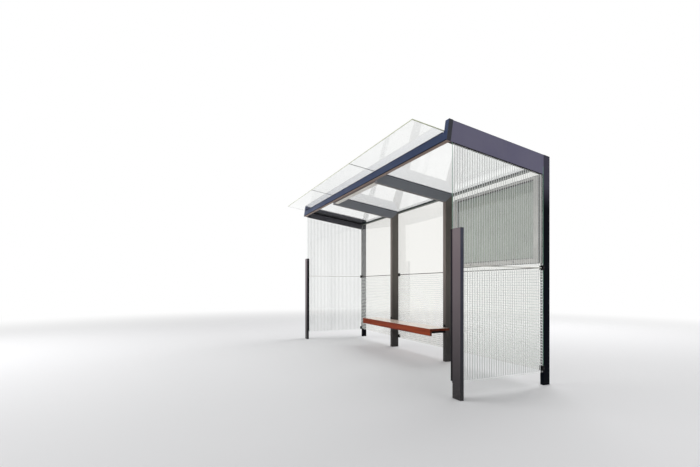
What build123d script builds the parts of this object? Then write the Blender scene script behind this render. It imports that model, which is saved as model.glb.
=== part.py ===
# Tram shelter: glazed three-bay frame with two raked side frames, timber bench and information case
import os
from math import cos, radians, sin, tan

from build123d import *

os.makedirs("parts", exist_ok=True)

# Driving sizes, in mm: X runs along the platform, Y towards the road, Z up
bay = 1485
corner_width = 45
corner_depth = 90
middle_width = 62
middle_depth = 125
edge_radius = 4
wall_to_corner_back = 97
roof_pitch = 8.3
rafter_top = 2318
rafter_depth = 126
side_drop = 91
side_rise = 117
roof_reach = 1596
roof_tail = 24

glass = 8
roof_glass = 12
pane_gap = 10
seam_height = 1240
seam_gap = 10
glass_foot = 155
end_glass_foot = 138

front_post_width = 118
front_post_depth = 40
front_post_height = 1582
front_post_reach = 1179
bar_thickness = 16
bar_foot = 155
edge_cover = 5

beam_reach = 1198
beam_thickness = 45
beam_corner = 125
beam_fillet = 30
upturn_width = 57
cap_thickness = 3

seat_strip = 40
strip_height = 15
rail_width = 26
rail_height = 22

corner_clamp_length = 28
corner_clamp_reach = 35
middle_clamp_length = 100
clamp_width = 34
clamp_height = 50
clamp_cheek = 0.3
low_clamp = 180

case_post_gap = 46
case_end_gap = 12
case_foot_gap = 22
case_head_gap = 1
case_depth = 27
case_wall = 20
case_back = 4
board_thickness = 3
door_thickness = 13
door_inset = 5
door_stile = 68
door_head_rail = 22
door_foot_rail = 52
door_rebate = 11
door_glass = 4
pin_inset = 2
pin_radius = 5
pin_clearance = 0.3
lock_radius = 9
lock_length = 6

seat_height = 475
seat_near = 860
seat_far = -1205
seat_depth = 316
plank_thickness = 32
plank_gap = 5
plank_count = 3
apron_thickness = 30
apron_height = 95
bracket_width = 50
bracket_height = 40
bracket_plate = 4
bracket_rise = 37
knob_radius = 8
knob_length = 9

lamp_width = 70
lamp_top = 40
lamp_body = 65
lamp_cover = 12
lamp_end_gap = 8

# Places worked out from the sizes
pitch = radians(roof_pitch)
front_reach = roof_reach * cos(pitch) - strip_height * sin(pitch)
wall_y = (front_reach - wall_to_corner_back) / 2
middle_x = bay / 2
corner_x = 1.5 * bay
side_x = corner_x + corner_width / 2
outer_bay_end = corner_x - corner_width / 2
corner_back = wall_y + wall_to_corner_back
corner_front = corner_back - corner_depth
middle_back = wall_y - rail_width / 2
middle_front = middle_back - middle_depth
front_post_face = wall_y - front_post_reach


def roof_point(reach, rise):
    """The (Y, Z) point at a reach up the slope from the back wall and a rise off the rafter tops."""
    return (
        wall_y - reach * cos(pitch) + rise * sin(pitch),
        rafter_top + reach * sin(pitch) + rise * cos(pitch),
    )


def roof_height(y, rise):
    """The height at Y of the plane that lies a rise off the rafter tops."""
    return rafter_top + rise / cos(pitch) - (y - wall_y) * tan(pitch)


# Raked side frames: the end beam butts against the front of a corner post of its own height
slope_axis = Axis((0, 0, 0), (0, -cos(pitch), sin(pitch)))
post_crest = (corner_front, roof_height(corner_front, side_rise))
post_throat = (corner_front, roof_height(corner_front, -side_drop))

with BuildPart() as near_corner_post:
    with BuildSketch(Plane.YZ.offset(corner_x)):
        with BuildLine():
            Polyline(
                (corner_front, 0),
                (corner_back, 0),
                (corner_back, roof_height(corner_back, side_rise)),
                post_crest,
                close=True,
            )
        make_face()
    extrude(amount=corner_width / 2, both=True)
    fillet(near_corner_post.edges().filter_by(Axis.Z), edge_radius)

with BuildPart() as near_end_beam:
    with BuildSketch(Plane.YZ.offset(corner_x)):
        with BuildLine():
            Polyline(
                post_throat,
                post_crest,
                roof_point(beam_reach, side_rise),
                roof_point(beam_reach, -side_drop),
                close=True,
            )
        make_face()
    extrude(amount=corner_width / 2, both=True)
    fillet(near_end_beam.edges().filter_by(slope_axis), edge_radius)

# Middle frames: post and rafter, mitred together below the roof glass, stand in front of the wall
middle_heel = (middle_back, roof_height(middle_back, 0))
middle_throat = (middle_front, roof_height(middle_front, -rafter_depth))

with BuildPart() as near_middle_post:
    with BuildSketch(Plane.YZ.offset(middle_x)):
        with BuildLine():
            Polyline((middle_front, 0), (middle_back, 0), middle_heel, middle_throat, close=True)
        make_face()
    extrude(amount=middle_width / 2, both=True)
    fillet(near_middle_post.edges().filter_by(Axis.Z), edge_radius)

with BuildPart() as near_rafter:
    with BuildSketch(Plane.YZ.offset(middle_x)):
        with BuildLine():
            Polyline(
                middle_throat,
                middle_heel,
                roof_point(beam_reach, 0),
                roof_point(beam_reach, -rafter_depth),
                close=True,
            )
        make_face()
    extrude(amount=middle_width / 2, both=True)
    fillet(near_rafter.edges().filter_by(slope_axis), edge_radius)

# Front beam with upturned corner pieces, seen along the slope
beam_plane = Plane(
    origin=(0, *roof_point(beam_reach + beam_thickness, 0)),
    x_dir=(1, 0, 0),
    z_dir=(0, -cos(pitch), sin(pitch)),
)
upturn_x = side_x - upturn_width
beam_half = side_x - beam_corner

with BuildPart() as front_beam:
    with BuildSketch(beam_plane):
        with Locations((0, -side_drop / 2)):
            Rectangle(2 * beam_half, side_drop)
    extrude(amount=-beam_thickness)
    fillet(front_beam.edges().filter_by(Axis.X), edge_radius)

with BuildPart() as near_beam_corner:
    with BuildSketch(beam_plane):
        with BuildLine():
            Polyline(
                (beam_half, -side_drop),
                (side_x, -side_drop),
                (side_x, side_rise),
                (upturn_x, side_rise),
                (upturn_x, 0),
                (beam_half, 0),
                close=True,
            )
        make_face()
        fillet(vertices().sort_by_distance((upturn_x, 0))[0], beam_fillet)
    extrude(amount=-beam_thickness)

with BuildPart() as near_beam_cap:
    with BuildSketch(Plane.YZ.offset(side_x)):
        with BuildLine():
            Polyline(
                roof_point(beam_reach, -side_drop),
                roof_point(beam_reach + beam_thickness, -side_drop),
                roof_point(beam_reach + beam_thickness, side_rise),
                roof_point(beam_reach, side_rise),
                close=True,
            )
        make_face()
    extrude(amount=cap_thickness)

# Half-height front post, with the bar that clamps the end glass to it
with BuildPart() as near_front_post:
    with BuildSketch():
        with Locations((side_x + front_post_width / 2, front_post_face + front_post_depth / 2)):
            Rectangle(front_post_width, front_post_depth)
    extrude(amount=front_post_height)
    fillet(near_front_post.edges().filter_by(Axis.Z), edge_radius)

with BuildPart() as near_clamp_bar:
    with BuildSketch(Plane.XY.offset(bar_foot)):
        with Locations((side_x - glass - bar_thickness / 2, front_post_face + front_post_depth / 2)):
            Rectangle(bar_thickness, front_post_depth)
    extrude(amount=front_post_height - bar_foot)

# Roof glazing: a gasket on the rafters and ledges on the side frames carry three panes
with BuildPart() as near_roof_ledge:
    with BuildSketch(Plane.YZ.offset(upturn_x - seat_strip)):
        with BuildLine():
            Polyline(
                roof_point(rail_width, 0),
                roof_point(beam_reach, 0),
                roof_point(beam_reach, strip_height),
                roof_point(rail_width, strip_height),
                close=True,
            )
        make_face()
    extrude(amount=outer_bay_end - upturn_x + seat_strip)

with BuildPart() as roof_gasket:
    with BuildSketch(Plane.YZ):
        with BuildLine():
            Polyline(
                roof_point(beam_reach, 0),
                roof_point(beam_reach + beam_thickness, 0),
                roof_point(beam_reach + beam_thickness, strip_height),
                roof_point(beam_reach, strip_height),
                close=True,
            )
        make_face()
    extrude(amount=upturn_x - beam_fillet, both=True)
    for rafter_x in (-middle_x, middle_x):
        with BuildSketch(Plane.YZ.offset(rafter_x)):
            with BuildLine():
                Polyline(
                    roof_point(rail_width, 0),
                    roof_point(beam_reach, 0),
                    roof_point(beam_reach, strip_height),
                    roof_point(rail_width, strip_height),
                    close=True,
                )
            make_face()
        extrude(amount=seat_strip / 2, both=True)

roof_plane = Plane(
    origin=(0, *roof_point(0, strip_height)),
    x_dir=(1, 0, 0),
    z_dir=(0, sin(pitch), cos(pitch)),
)
roof_length = roof_reach + roof_tail
outer_pane_width = upturn_x - pane_gap - middle_x - pane_gap / 2
outer_pane_x = middle_x + pane_gap / 2 + outer_pane_width / 2

with BuildPart() as near_roof_pane:
    with BuildSketch(roof_plane):
        with Locations((outer_pane_x, roof_tail - roof_length / 2)):
            Rectangle(outer_pane_width, roof_length)
    extrude(amount=roof_glass)

with BuildPart() as middle_roof_pane:
    with BuildSketch(roof_plane):
        with Locations((0, roof_tail - roof_length / 2)):
            Rectangle(bay - pane_gap, roof_length)
    extrude(amount=roof_glass)

# Back wall: slotted rails under the roof glass, then an upper and a lower pane in each bay, all behind
# the middle posts; the outer panes run on across the front of the corner posts
middle_bay_half = middle_x - middle_width / 2
outer_wall_start = middle_x + pane_gap / 2
middle_wall_half = middle_x - pane_gap / 2
rail_foot = rafter_top - rail_height
upper_pane_head = rail_foot + rail_height / 2

with BuildPart() as near_back_rail:
    with BuildSketch(Plane.YZ.offset(outer_wall_start)):
        with BuildLine():
            Polyline(
                (wall_y - rail_width / 2, rail_foot),
                (wall_y + rail_width / 2, rail_foot),
                (wall_y + rail_width / 2, roof_height(wall_y + rail_width / 2, strip_height)),
                (wall_y - rail_width / 2, roof_height(wall_y - rail_width / 2, strip_height)),
                close=True,
            )
        make_face()
        with Locations((wall_y, rail_foot)):
            Rectangle(glass + 2 * clamp_cheek, rail_height, mode=Mode.SUBTRACT)
    extrude(amount=outer_bay_end - outer_wall_start)

with BuildPart() as middle_back_rail:
    with BuildSketch(Plane.YZ):
        with BuildLine():
            Polyline(
                (wall_y - rail_width / 2, rail_foot),
                (wall_y + rail_width / 2, rail_foot),
                (wall_y + rail_width / 2, roof_height(wall_y + rail_width / 2, strip_height)),
                (wall_y - rail_width / 2, roof_height(wall_y - rail_width / 2, strip_height)),
                close=True,
            )
        make_face()
        with Locations((wall_y, rail_foot)):
            Rectangle(glass + 2 * clamp_cheek, rail_height, mode=Mode.SUBTRACT)
    extrude(amount=middle_wall_half, both=True)

wall_front = wall_y - glass / 2
wall_back = wall_y + glass / 2
upper_height = upper_pane_head - seam_height - seam_gap / 2
lower_height = seam_height - seam_gap / 2 - glass_foot
outer_wall_x = (outer_wall_start + side_x) / 2
outer_wall_width = side_x - outer_wall_start
notch_x = outer_bay_end - pane_gap
notch_z = roof_height(wall_back, -side_drop) - pane_gap

with BuildPart() as near_upper_pane:
    with BuildSketch(Plane.XZ.offset(-wall_back)):
        with BuildLine():
            Polyline(
                (outer_wall_start, seam_height + seam_gap / 2),
                (side_x, seam_height + seam_gap / 2),
                (side_x, notch_z),
                (notch_x, notch_z),
                (notch_x, upper_pane_head),
                (outer_wall_start, upper_pane_head),
                close=True,
            )
        make_face()
    extrude(amount=glass)

with BuildPart() as near_lower_pane:
    with BuildSketch(Plane.XY.offset(glass_foot)):
        with Locations((outer_wall_x, wall_y)):
            Rectangle(outer_wall_width, glass)
    extrude(amount=lower_height)

with BuildPart() as middle_upper_pane:
    with BuildSketch(Plane.XY.offset(seam_height + seam_gap / 2)):
        with Locations((0, wall_y)):
            Rectangle(2 * middle_wall_half, glass)
    extrude(amount=upper_height)

with BuildPart() as middle_lower_pane:
    with BuildSketch(Plane.XY.offset(glass_foot)):
        with Locations((0, wall_y)):
            Rectangle(2 * middle_wall_half, glass)
    extrude(amount=lower_height)

# End walls: the upper pane is cut to the slope of the end beam above it
end_glass_front = front_post_face + edge_cover
end_glass_back = wall_front - pane_gap / 2

with BuildPart() as near_end_upper_pane:
    with BuildSketch(Plane.YZ.offset(side_x)):
        with BuildLine():
            Polyline(
                (end_glass_front, seam_height + seam_gap / 2),
                (end_glass_back, seam_height + seam_gap / 2),
                (end_glass_back, roof_height(end_glass_back, -side_drop)),
                (end_glass_front, roof_height(end_glass_front, -side_drop)),
                close=True,
            )
        make_face()
    extrude(amount=-glass)

with BuildPart() as near_end_lower_pane:
    with BuildSketch(Plane.YZ.offset(side_x)):
        with BuildLine():
            Polyline(
                (end_glass_front, end_glass_foot),
                (end_glass_back, end_glass_foot),
                (end_glass_back, seam_height - seam_gap / 2),
                (end_glass_front, seam_height - seam_gap / 2),
                close=True,
            )
        make_face()
    extrude(amount=-glass)

# Glass clamps at the seam and near the foot: a slotted block on the front of each corner post holds
# the end pane and the back pane, and one on the back of each middle post holds two back panes
slot = glass + 2 * clamp_cheek
clamp_rows = (seam_height, low_clamp)
clamp_left = side_x - corner_clamp_reach
clamp_right = side_x - glass / 2 + clamp_width / 2
clamp_front = corner_front - corner_clamp_length
end_slot_back = end_glass_back + clamp_cheek
middle_clamp_back = wall_y + clamp_width / 2
web_half = pane_gap / 2 - clamp_cheek
middle_slot = middle_clamp_length / 2 - web_half

with BuildPart() as near_corner_clamps:
    for height in clamp_rows:
        with BuildSketch(Plane.XY.offset(height)):
            with Locations(((clamp_left + clamp_right) / 2, (clamp_front + corner_front) / 2)):
                Rectangle(clamp_right - clamp_left, corner_clamp_length)
            with Locations((side_x - glass / 2, (clamp_front + end_slot_back) / 2)):
                Rectangle(slot, end_slot_back - clamp_front, mode=Mode.SUBTRACT)
            with Locations(((clamp_left + side_x + clamp_cheek) / 2, wall_y)):
                Rectangle(corner_clamp_reach + clamp_cheek, slot, mode=Mode.SUBTRACT)
        extrude(amount=clamp_height / 2, both=True)

with BuildPart() as near_middle_clamps:
    for height in clamp_rows:
        with BuildSketch(Plane.XY.offset(height)):
            with Locations((middle_x, (middle_back + middle_clamp_back) / 2)):
                Rectangle(middle_clamp_length, middle_clamp_back - middle_back)
            for side in (-1, 1):
                with Locations((middle_x + side * (web_half + middle_slot / 2), wall_y)):
                    Rectangle(middle_slot, slot, mode=Mode.SUBTRACT)
        extrude(amount=clamp_height / 2, both=True)

# Information case on the near upper pane, with a flap door that hangs just below its hinge pin
case_left = middle_x + middle_width / 2 + case_post_gap
case_right = side_x - glass - case_end_gap
case_width = case_right - case_left
case_x = (case_left + case_right) / 2
case_foot = seam_height + clamp_height / 2 + case_foot_gap
case_rear = wall_front
case_head = roof_height(case_rear, -side_drop) - case_head_gap
case_height = case_head - case_foot
case_z = (case_head + case_foot) / 2
case_face = case_rear - case_depth
pin_y = case_face
pin_z = case_head - pin_inset - pin_radius - pin_clearance
door_foot = case_foot + door_inset
door_head = pin_z - pin_radius - pin_clearance
door_width = case_width - 2 * door_inset
door_height = door_head - door_foot
door_z = (door_head + door_foot) / 2
door_back = case_face - 2 * clamp_cheek
door_face = door_back - door_thickness
view_width = door_width - 2 * door_stile
view_height = door_height - door_head_rail - door_foot_rail
view_z = door_foot + door_foot_rail + view_height / 2

with BuildPart() as case_body:
    with BuildSketch(Plane.XZ.offset(-case_rear)):
        with Locations((case_x, case_z)):
            Rectangle(case_width, case_height)
    extrude(amount=case_depth)
    with BuildSketch(Plane.XZ.offset(-case_face)):
        with Locations((case_x, case_z)):
            Rectangle(case_width - 2 * case_wall, case_height - 2 * case_wall)
    extrude(amount=-(case_depth - case_back), mode=Mode.SUBTRACT)
    with BuildSketch(Plane.YZ.offset(case_left)):
        with Locations((pin_y, pin_z)):
            Circle(pin_radius + pin_clearance)
    extrude(amount=case_width, mode=Mode.SUBTRACT)

with BuildPart() as case_board:
    with BuildSketch(Plane.XZ.offset(-(case_rear - case_back))):
        with Locations((case_x, case_z)):
            Rectangle(case_width - 2 * case_wall, case_height - 2 * case_wall)
    extrude(amount=board_thickness)

with BuildPart() as case_hinge_pin:
    with BuildSketch(Plane.YZ.offset(case_left + door_inset)):
        with Locations((pin_y, pin_z)):
            Circle(pin_radius)
    extrude(amount=door_width)

with BuildPart() as case_door_frame:
    with BuildSketch(Plane.XZ.offset(-door_back)):
        with Locations((case_x, door_z)):
            Rectangle(door_width, door_height)
        with Locations((case_x, view_z)):
            Rectangle(view_width, view_height, mode=Mode.SUBTRACT)
    extrude(amount=door_thickness)
    with BuildSketch(Plane.XZ.offset(-door_back)):
        with Locations((case_x, view_z)):
            Rectangle(view_width + 2 * door_rebate, view_height + 2 * door_rebate)
    extrude(amount=door_glass, mode=Mode.SUBTRACT)

with BuildPart() as case_door_pane:
    with BuildSketch(Plane.XZ.offset(-door_back)):
        with Locations((case_x, view_z)):
            Rectangle(view_width + 2 * door_rebate, view_height + 2 * door_rebate)
    extrude(amount=door_glass)

with BuildPart() as case_locks:
    with BuildSketch(Plane.XZ.offset(-door_face)):
        with Locations(
            (case_x - case_width / 4, door_foot + door_foot_rail / 2),
            (case_x + case_width / 4, door_foot + door_foot_rail / 2),
        ):
            Circle(lock_radius)
    extrude(amount=lock_length)

# Bench: apron and planks on two brackets fixed to the middle posts
seat_length = seat_near - seat_far
seat_x = (seat_near + seat_far) / 2
seat_back = middle_front - bracket_plate
seat_front = seat_back - seat_depth
apron_back = seat_front + apron_thickness
plank_width = (seat_back - apron_back - plank_count * plank_gap) / plank_count

with BuildPart() as bench_apron:
    with BuildSketch(Plane.XY.offset(seat_height)):
        with Locations((seat_x, seat_front + apron_thickness / 2)):
            Rectangle(seat_length, apron_thickness)
    extrude(amount=-apron_height)
    fillet(bench_apron.edges().filter_by(Axis.X), edge_radius)

planks = []
for number in range(plank_count):
    plank_y = apron_back + plank_gap + number * (plank_width + plank_gap) + plank_width / 2
    with BuildPart() as plank:
        with BuildSketch(Plane.XY.offset(seat_height)):
            with Locations((seat_x, plank_y)):
                Rectangle(seat_length, plank_width)
        extrude(amount=-plank_thickness)
        fillet(plank.edges().filter_by(Axis.X), edge_radius)
    planks.append(plank)

bracket_top = seat_height - plank_thickness
bracket_head = seat_height + bracket_rise

with BuildPart() as near_bench_bracket:
    with BuildSketch(Plane.XY.offset(bracket_top)):
        with Locations((middle_x, (apron_back + middle_front) / 2)):
            Rectangle(bracket_width, middle_front - apron_back)
    extrude(amount=-bracket_height)
    with BuildSketch(Plane.XZ.offset(-middle_front)):
        with Locations((middle_x, (bracket_head + bracket_top - bracket_height) / 2)):
            Rectangle(bracket_width, bracket_head - bracket_top + bracket_height)
    extrude(amount=bracket_plate)
    with BuildSketch(Plane.XZ.offset(-seat_back)):
        with Locations((middle_x, (bracket_head + seat_height) / 2)):
            Circle(knob_radius)
    extrude(amount=knob_length)

# Linear lamp behind the front beam, between the rafters
lamp_half = middle_bay_half - lamp_end_gap

with BuildPart() as lamp_housing:
    with BuildSketch(Plane.YZ):
        with BuildLine():
            Polyline(
                roof_point(beam_reach - lamp_width, -lamp_top),
                roof_point(beam_reach, -lamp_top),
                roof_point(beam_reach, -lamp_top - lamp_body),
                roof_point(beam_reach - lamp_width, -lamp_top - lamp_body),
                close=True,
            )
        make_face()
    extrude(amount=lamp_half, both=True)

with BuildPart() as lamp_diffuser:
    with BuildSketch(Plane.YZ):
        with BuildLine():
            Polyline(
                roof_point(beam_reach - lamp_width + lamp_end_gap, -lamp_top - lamp_body),
                roof_point(beam_reach - lamp_end_gap, -lamp_top - lamp_body),
                roof_point(beam_reach - lamp_end_gap, -lamp_top - lamp_body - lamp_cover),
                roof_point(beam_reach - lamp_width + lamp_end_gap, -lamp_top - lamp_body - lamp_cover),
                close=True,
            )
        make_face()
    extrude(amount=lamp_half - lamp_end_gap, both=True)

# The far half repeats the near half, mirrored about the middle of the shelter
near_pieces = {
    "corner_post": near_corner_post,
    "end_beam": near_end_beam,
    "middle_post": near_middle_post,
    "rafter": near_rafter,
    "beam_corner": near_beam_corner,
    "beam_cap": near_beam_cap,
    "front_post": near_front_post,
    "clamp_bar": near_clamp_bar,
    "roof_ledge": near_roof_ledge,
    "roof_pane": near_roof_pane,
    "back_rail": near_back_rail,
    "upper_pane": near_upper_pane,
    "lower_pane": near_lower_pane,
    "end_upper_pane": near_end_upper_pane,
    "end_lower_pane": near_end_lower_pane,
    "corner_clamps": near_corner_clamps,
    "middle_clamps": near_middle_clamps,
    "bench_bracket": near_bench_bracket,
}
for piece, near in near_pieces.items():
    near.part.label = "near_" + piece
    export_step(near.part, f"parts/near_{piece}.step")
    with BuildPart() as far:
        mirror(near.part, about=Plane.YZ)
    far.part.label = "far_" + piece
    export_step(far.part, f"parts/far_{piece}.step")

single_pieces = {
    "front_beam": front_beam,
    "roof_gasket": roof_gasket,
    "middle_roof_pane": middle_roof_pane,
    "middle_back_rail": middle_back_rail,
    "middle_upper_pane": middle_upper_pane,
    "middle_lower_pane": middle_lower_pane,
    "case_body": case_body,
    "case_board": case_board,
    "case_hinge_pin": case_hinge_pin,
    "case_door_frame": case_door_frame,
    "case_door_pane": case_door_pane,
    "case_locks": case_locks,
    "bench_apron": bench_apron,
    "front_plank": planks[0],
    "middle_plank": planks[1],
    "rear_plank": planks[2],
    "lamp_housing": lamp_housing,
    "lamp_diffuser": lamp_diffuser,
}
for piece, single in single_pieces.items():
    single.part.label = piece
    export_step(single.part, f"parts/{piece}.step")
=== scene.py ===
"""Looks of a glazed tram shelter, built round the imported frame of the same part.

Lengths are metres in the frame of the part: X along the shelter, Y from its open front to its
glazed back and Z up, with the origin on the ground in the middle.
"""

import logging
import math
from collections.abc import Callable, Iterable, Sequence
from dataclasses import dataclass
from enum import Enum

import bmesh
import bpy
from mathutils import Matrix, Vector


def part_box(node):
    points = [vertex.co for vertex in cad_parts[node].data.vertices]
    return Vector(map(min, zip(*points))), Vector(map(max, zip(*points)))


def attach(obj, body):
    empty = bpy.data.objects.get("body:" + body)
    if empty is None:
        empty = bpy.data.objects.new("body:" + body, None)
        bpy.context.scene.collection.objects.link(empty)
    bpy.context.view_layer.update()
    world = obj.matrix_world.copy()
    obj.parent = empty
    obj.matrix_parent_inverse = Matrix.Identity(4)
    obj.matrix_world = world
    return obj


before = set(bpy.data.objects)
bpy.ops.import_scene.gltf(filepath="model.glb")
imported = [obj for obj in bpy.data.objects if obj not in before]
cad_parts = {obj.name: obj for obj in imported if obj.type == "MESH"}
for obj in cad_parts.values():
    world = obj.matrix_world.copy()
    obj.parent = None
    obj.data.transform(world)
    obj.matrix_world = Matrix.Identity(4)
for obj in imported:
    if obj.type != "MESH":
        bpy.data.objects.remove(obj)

LOG = logging.getLogger("tram_shelter")
WHITE = (1.0, 1.0, 1.0)
SHARP_FROM = math.radians(35)
FLAT_WITHIN = math.radians(0.5)
SAME_POINT = 0.00002
PLACE_DIGITS = 4

# Kinds of value that the functions below pass to one another
Colour = tuple[float, float, float]
Place = tuple[float, float, float]
Span = tuple[float, float]
Box = Sequence[Vector]
Socket = bpy.types.NodeSocket
Outputs = bpy.types.bpy_prop_collection
Sockets = dict[str, Socket]
Feed = float | tuple | Vector | Socket
Feeds = dict[str | int, Feed]


class Body(Enum):
    """A body of the part, by its name in the record."""

    SHELTER = "shelter"
    CASE_DOOR = "case_door"


class Slot(Enum):
    """A material slot of the record."""

    FRAME_PAINT = "frame_paint"
    CAP = "cap"
    GASKET = "gasket"
    RAIL = "rail"
    ROOF_GLASS = "roof_glass"
    WALL_GLASS = "wall_glass"
    LOCK_STEEL = "lock_steel"
    LAMP_METAL = "lamp_metal"


class Axis(Enum):
    """A direction of the part's frame, with its place in a vector."""

    X = 0
    Y = 1
    Z = 2

    @property
    def vector(self) -> Vector:
        """The unit vector of this direction."""
        return Vector([float(axis is self) for axis in Axis])


class Hand(Enum):
    """One of the two mirrored halves, with the sign of its X."""

    NEAR = 1
    FAR = -1

    def node(self, piece: str) -> str:
        """The name of this half's node of a piece."""
        return f"{self.name.lower()}_{piece}"

    def outer(self, box: Box) -> float:
        """The X of a box's side that looks away from the middle of the shelter."""
        return box[1].x if self is Hand.NEAR else box[0].x

    def inner(self, box: Box) -> float:
        """The X of a box's side that looks to the middle of the shelter."""
        return box[0].x if self is Hand.NEAR else box[1].x


class Bay(Enum):
    """One of the three bays along the shelter."""

    NEAR = "near"
    MIDDLE = "middle"
    FAR = "far"

    def node(self, piece: str) -> str:
        """The name of this bay's node of a piece."""
        return f"{self.value}_{piece}"


class Graph:
    """A shader node tree, with short calls that add nodes and join their sockets."""

    MIX_FACTOR, MIX_FIRST, MIX_SECOND, MIX_RESULT = 0, 6, 7, 2

    def __init__(self, tree: bpy.types.NodeTree) -> None:
        """Keeps the tree that the nodes go into."""
        self.tree = tree

    def node(self, kind: str, feeds: Feeds | None = None, **settings: object) -> bpy.types.Node:
        """Adds a node.

        Args:
            kind: the node's type without the word ShaderNode.
            feeds: a constant or a source socket for each input that isn't left as it is.
            settings: properties of the node, such as its operation.

        Returns:
            The new node.
        """
        made = self.tree.nodes.new("ShaderNode" + kind)
        for name, value in settings.items():
            setattr(made, name, value)
        self.join(made, feeds or {})
        return made

    def join(self, node: bpy.types.Node, feeds: Feeds) -> None:
        """Feeds several inputs of a node."""
        for socket, value in feeds.items():
            self.feed(node.inputs[socket], value)

    def feed(self, socket: Socket, value: Feed) -> None:
        """Joins a source socket to an input, or writes a constant on it.

        Args:
            socket: the input.
            value: the source socket, a number, a vector, or a colour without its alpha.
        """
        if isinstance(value, Socket):
            self.tree.links.new(value, socket)
        elif socket.type == "RGBA":
            socket.default_value = (*value, 1.0)
        else:
            socket.default_value = value

    def arithmetic(self, operation: str, first: Feed, second: Feed = 0.0) -> Socket:
        """Adds a Math node and returns its value."""
        return self.node("Math", {0: first, 1: second}, operation=operation).outputs[0]

    def product(self, first: Feed, second: Feed) -> Socket:
        """Returns one value times another."""
        return self.arithmetic("MULTIPLY", first, second)

    def rest(self, share: Feed) -> Socket:
        """Returns what a share leaves of 1."""
        return self.arithmetic("SUBTRACT", 1.0, share)

    def raised(self, base: Feed, mask: Feed, share: float) -> Socket:
        """Returns a value with a share of a mask added to it."""
        return self.arithmetic("ADD", self.product(mask, share), base)

    def smooth_range(self, value: Feed, low: Feed, high: Feed) -> Socket:
        """Returns a value that rises smoothly from 0 at low to 1 at high."""
        feeds = {"Value": value, "From Min": low, "From Max": high}
        return self.node("MapRange", feeds, interpolation_type="SMOOTHSTEP").outputs[0]

    def noise(self, place: Feed, scale: Feed, detail: float = 2.0) -> Socket:
        """Returns the value of a noise texture at a place."""
        feeds = {"Vector": place, "Scale": scale, "Detail": detail}
        return self.node("TexNoise", feeds).outputs[0]

    def patches(self, scale: Feed, span: Span, detail: float = 6.0) -> Socket:
        """Returns soft patches of 0 and 1, cut out of noise between two of its values."""
        return self.smooth_range(self.noise(self.place(), scale, detail), *span)

    def mixed(self, factor: Feed, first: Feed, second: Feed) -> Socket:
        """Returns the mix of two colours, all second where the factor is 1."""
        feeds = {self.MIX_FACTOR: factor, self.MIX_FIRST: first, self.MIX_SECOND: second}
        return self.node("Mix", feeds, data_type="RGBA").outputs[self.MIX_RESULT]

    def layered(self, ground: Feed, *coats: tuple[Feed, Colour]) -> Feed:
        """Lays coats of colour over one another.

        Args:
            ground: the colour below.
            coats: the share and the colour of each coat, from below.

        Returns:
            The colour that shows.
        """
        for share, colour in coats:
            ground = self.mixed(share, ground, colour)
        return ground

    def bump(self, height: Feed, depth: float) -> Socket:
        """Returns the normal of a surface that rises by a depth, in metres, where a height is 1."""
        return self.node("Bump", {"Height": height, "Distance": depth, "Strength": 1.0}).outputs[0]

    def place(self) -> Socket:
        """Returns the point in the frame of the part, in metres."""
        return self.node("TexCoord").outputs["Object"]

    def drawn_out(self, along: Axis, share: float) -> Socket:
        """Returns the point with one part scaled, which draws a texture out along that axis."""
        scale = tuple(share if axis is along else 1.0 for axis in Axis)
        return self.node("VectorMath", {0: self.place(), 1: scale}, operation="MULTIPLY").outputs[0]

    def facing(self) -> Socket:
        """Returns the surface's normal in the frame of the part."""
        return self.node("TexCoord").outputs["Normal"]

    def facing_along(self, axis: Axis) -> Socket:
        """Returns how far the surface looks along an axis, from -1 to 1."""
        return self.part(self.facing(), axis)

    def part(self, vector: Feed, axis: Axis) -> Socket:
        """Returns one part of a vector."""
        return self.node("SeparateXYZ", {0: vector}).outputs[axis.name]

    def match(self, first: Feed, second: Feed) -> Socket:
        """Returns how far two directions agree, from -1 to 1."""
        return self.node("VectorMath", {0: first, 1: second}, operation="DOT_PRODUCT").outputs["Value"]


class EffectGroup:
    """A shader node group that puts out values which change over the surface, built once."""

    name = ""
    inputs: dict[str, float] = {}
    outputs: tuple[str, ...] = ()

    @classmethod
    def on(cls, graph: Graph, **feeds: Feed) -> Outputs:
        """Places the group in a material.

        Args:
            graph: the material's tree.
            feeds: values for the group's inputs, named with _ for each space.

        Returns:
            The outputs of the group's node.
        """
        named = {name.replace("_", " "): value for name, value in feeds.items()}
        return graph.node("Group", named, node_tree=cls._tree()).outputs

    @classmethod
    def _tree(cls) -> bpy.types.NodeTree:
        """Makes the group's tree the first time.

        Returns:
            The tree.
        """
        found = bpy.data.node_groups.get(cls.name)
        if found:
            return found
        tree = bpy.data.node_groups.new(cls.name, "ShaderNodeTree")
        for label, value in cls.inputs.items():
            socket = tree.interface.new_socket(label, in_out="INPUT", socket_type="NodeSocketFloat")
            socket.default_value = value
        for label in cls.outputs:
            tree.interface.new_socket(label, in_out="OUTPUT", socket_type="NodeSocketFloat")
        given = tree.nodes.new("NodeGroupInput")
        result = tree.nodes.new("NodeGroupOutput")
        graph = Graph(tree)
        graph.join(result, cls.wire(graph, given.outputs))
        return tree

    @classmethod
    def wire(cls, graph: Graph, given: Outputs) -> Sockets:
        """Adds the group's nodes.

        Args:
            graph: the group's tree.
            given: the sockets that bring its inputs.

        Returns:
            The socket that feeds each output.
        """
        raise NotImplementedError


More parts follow.
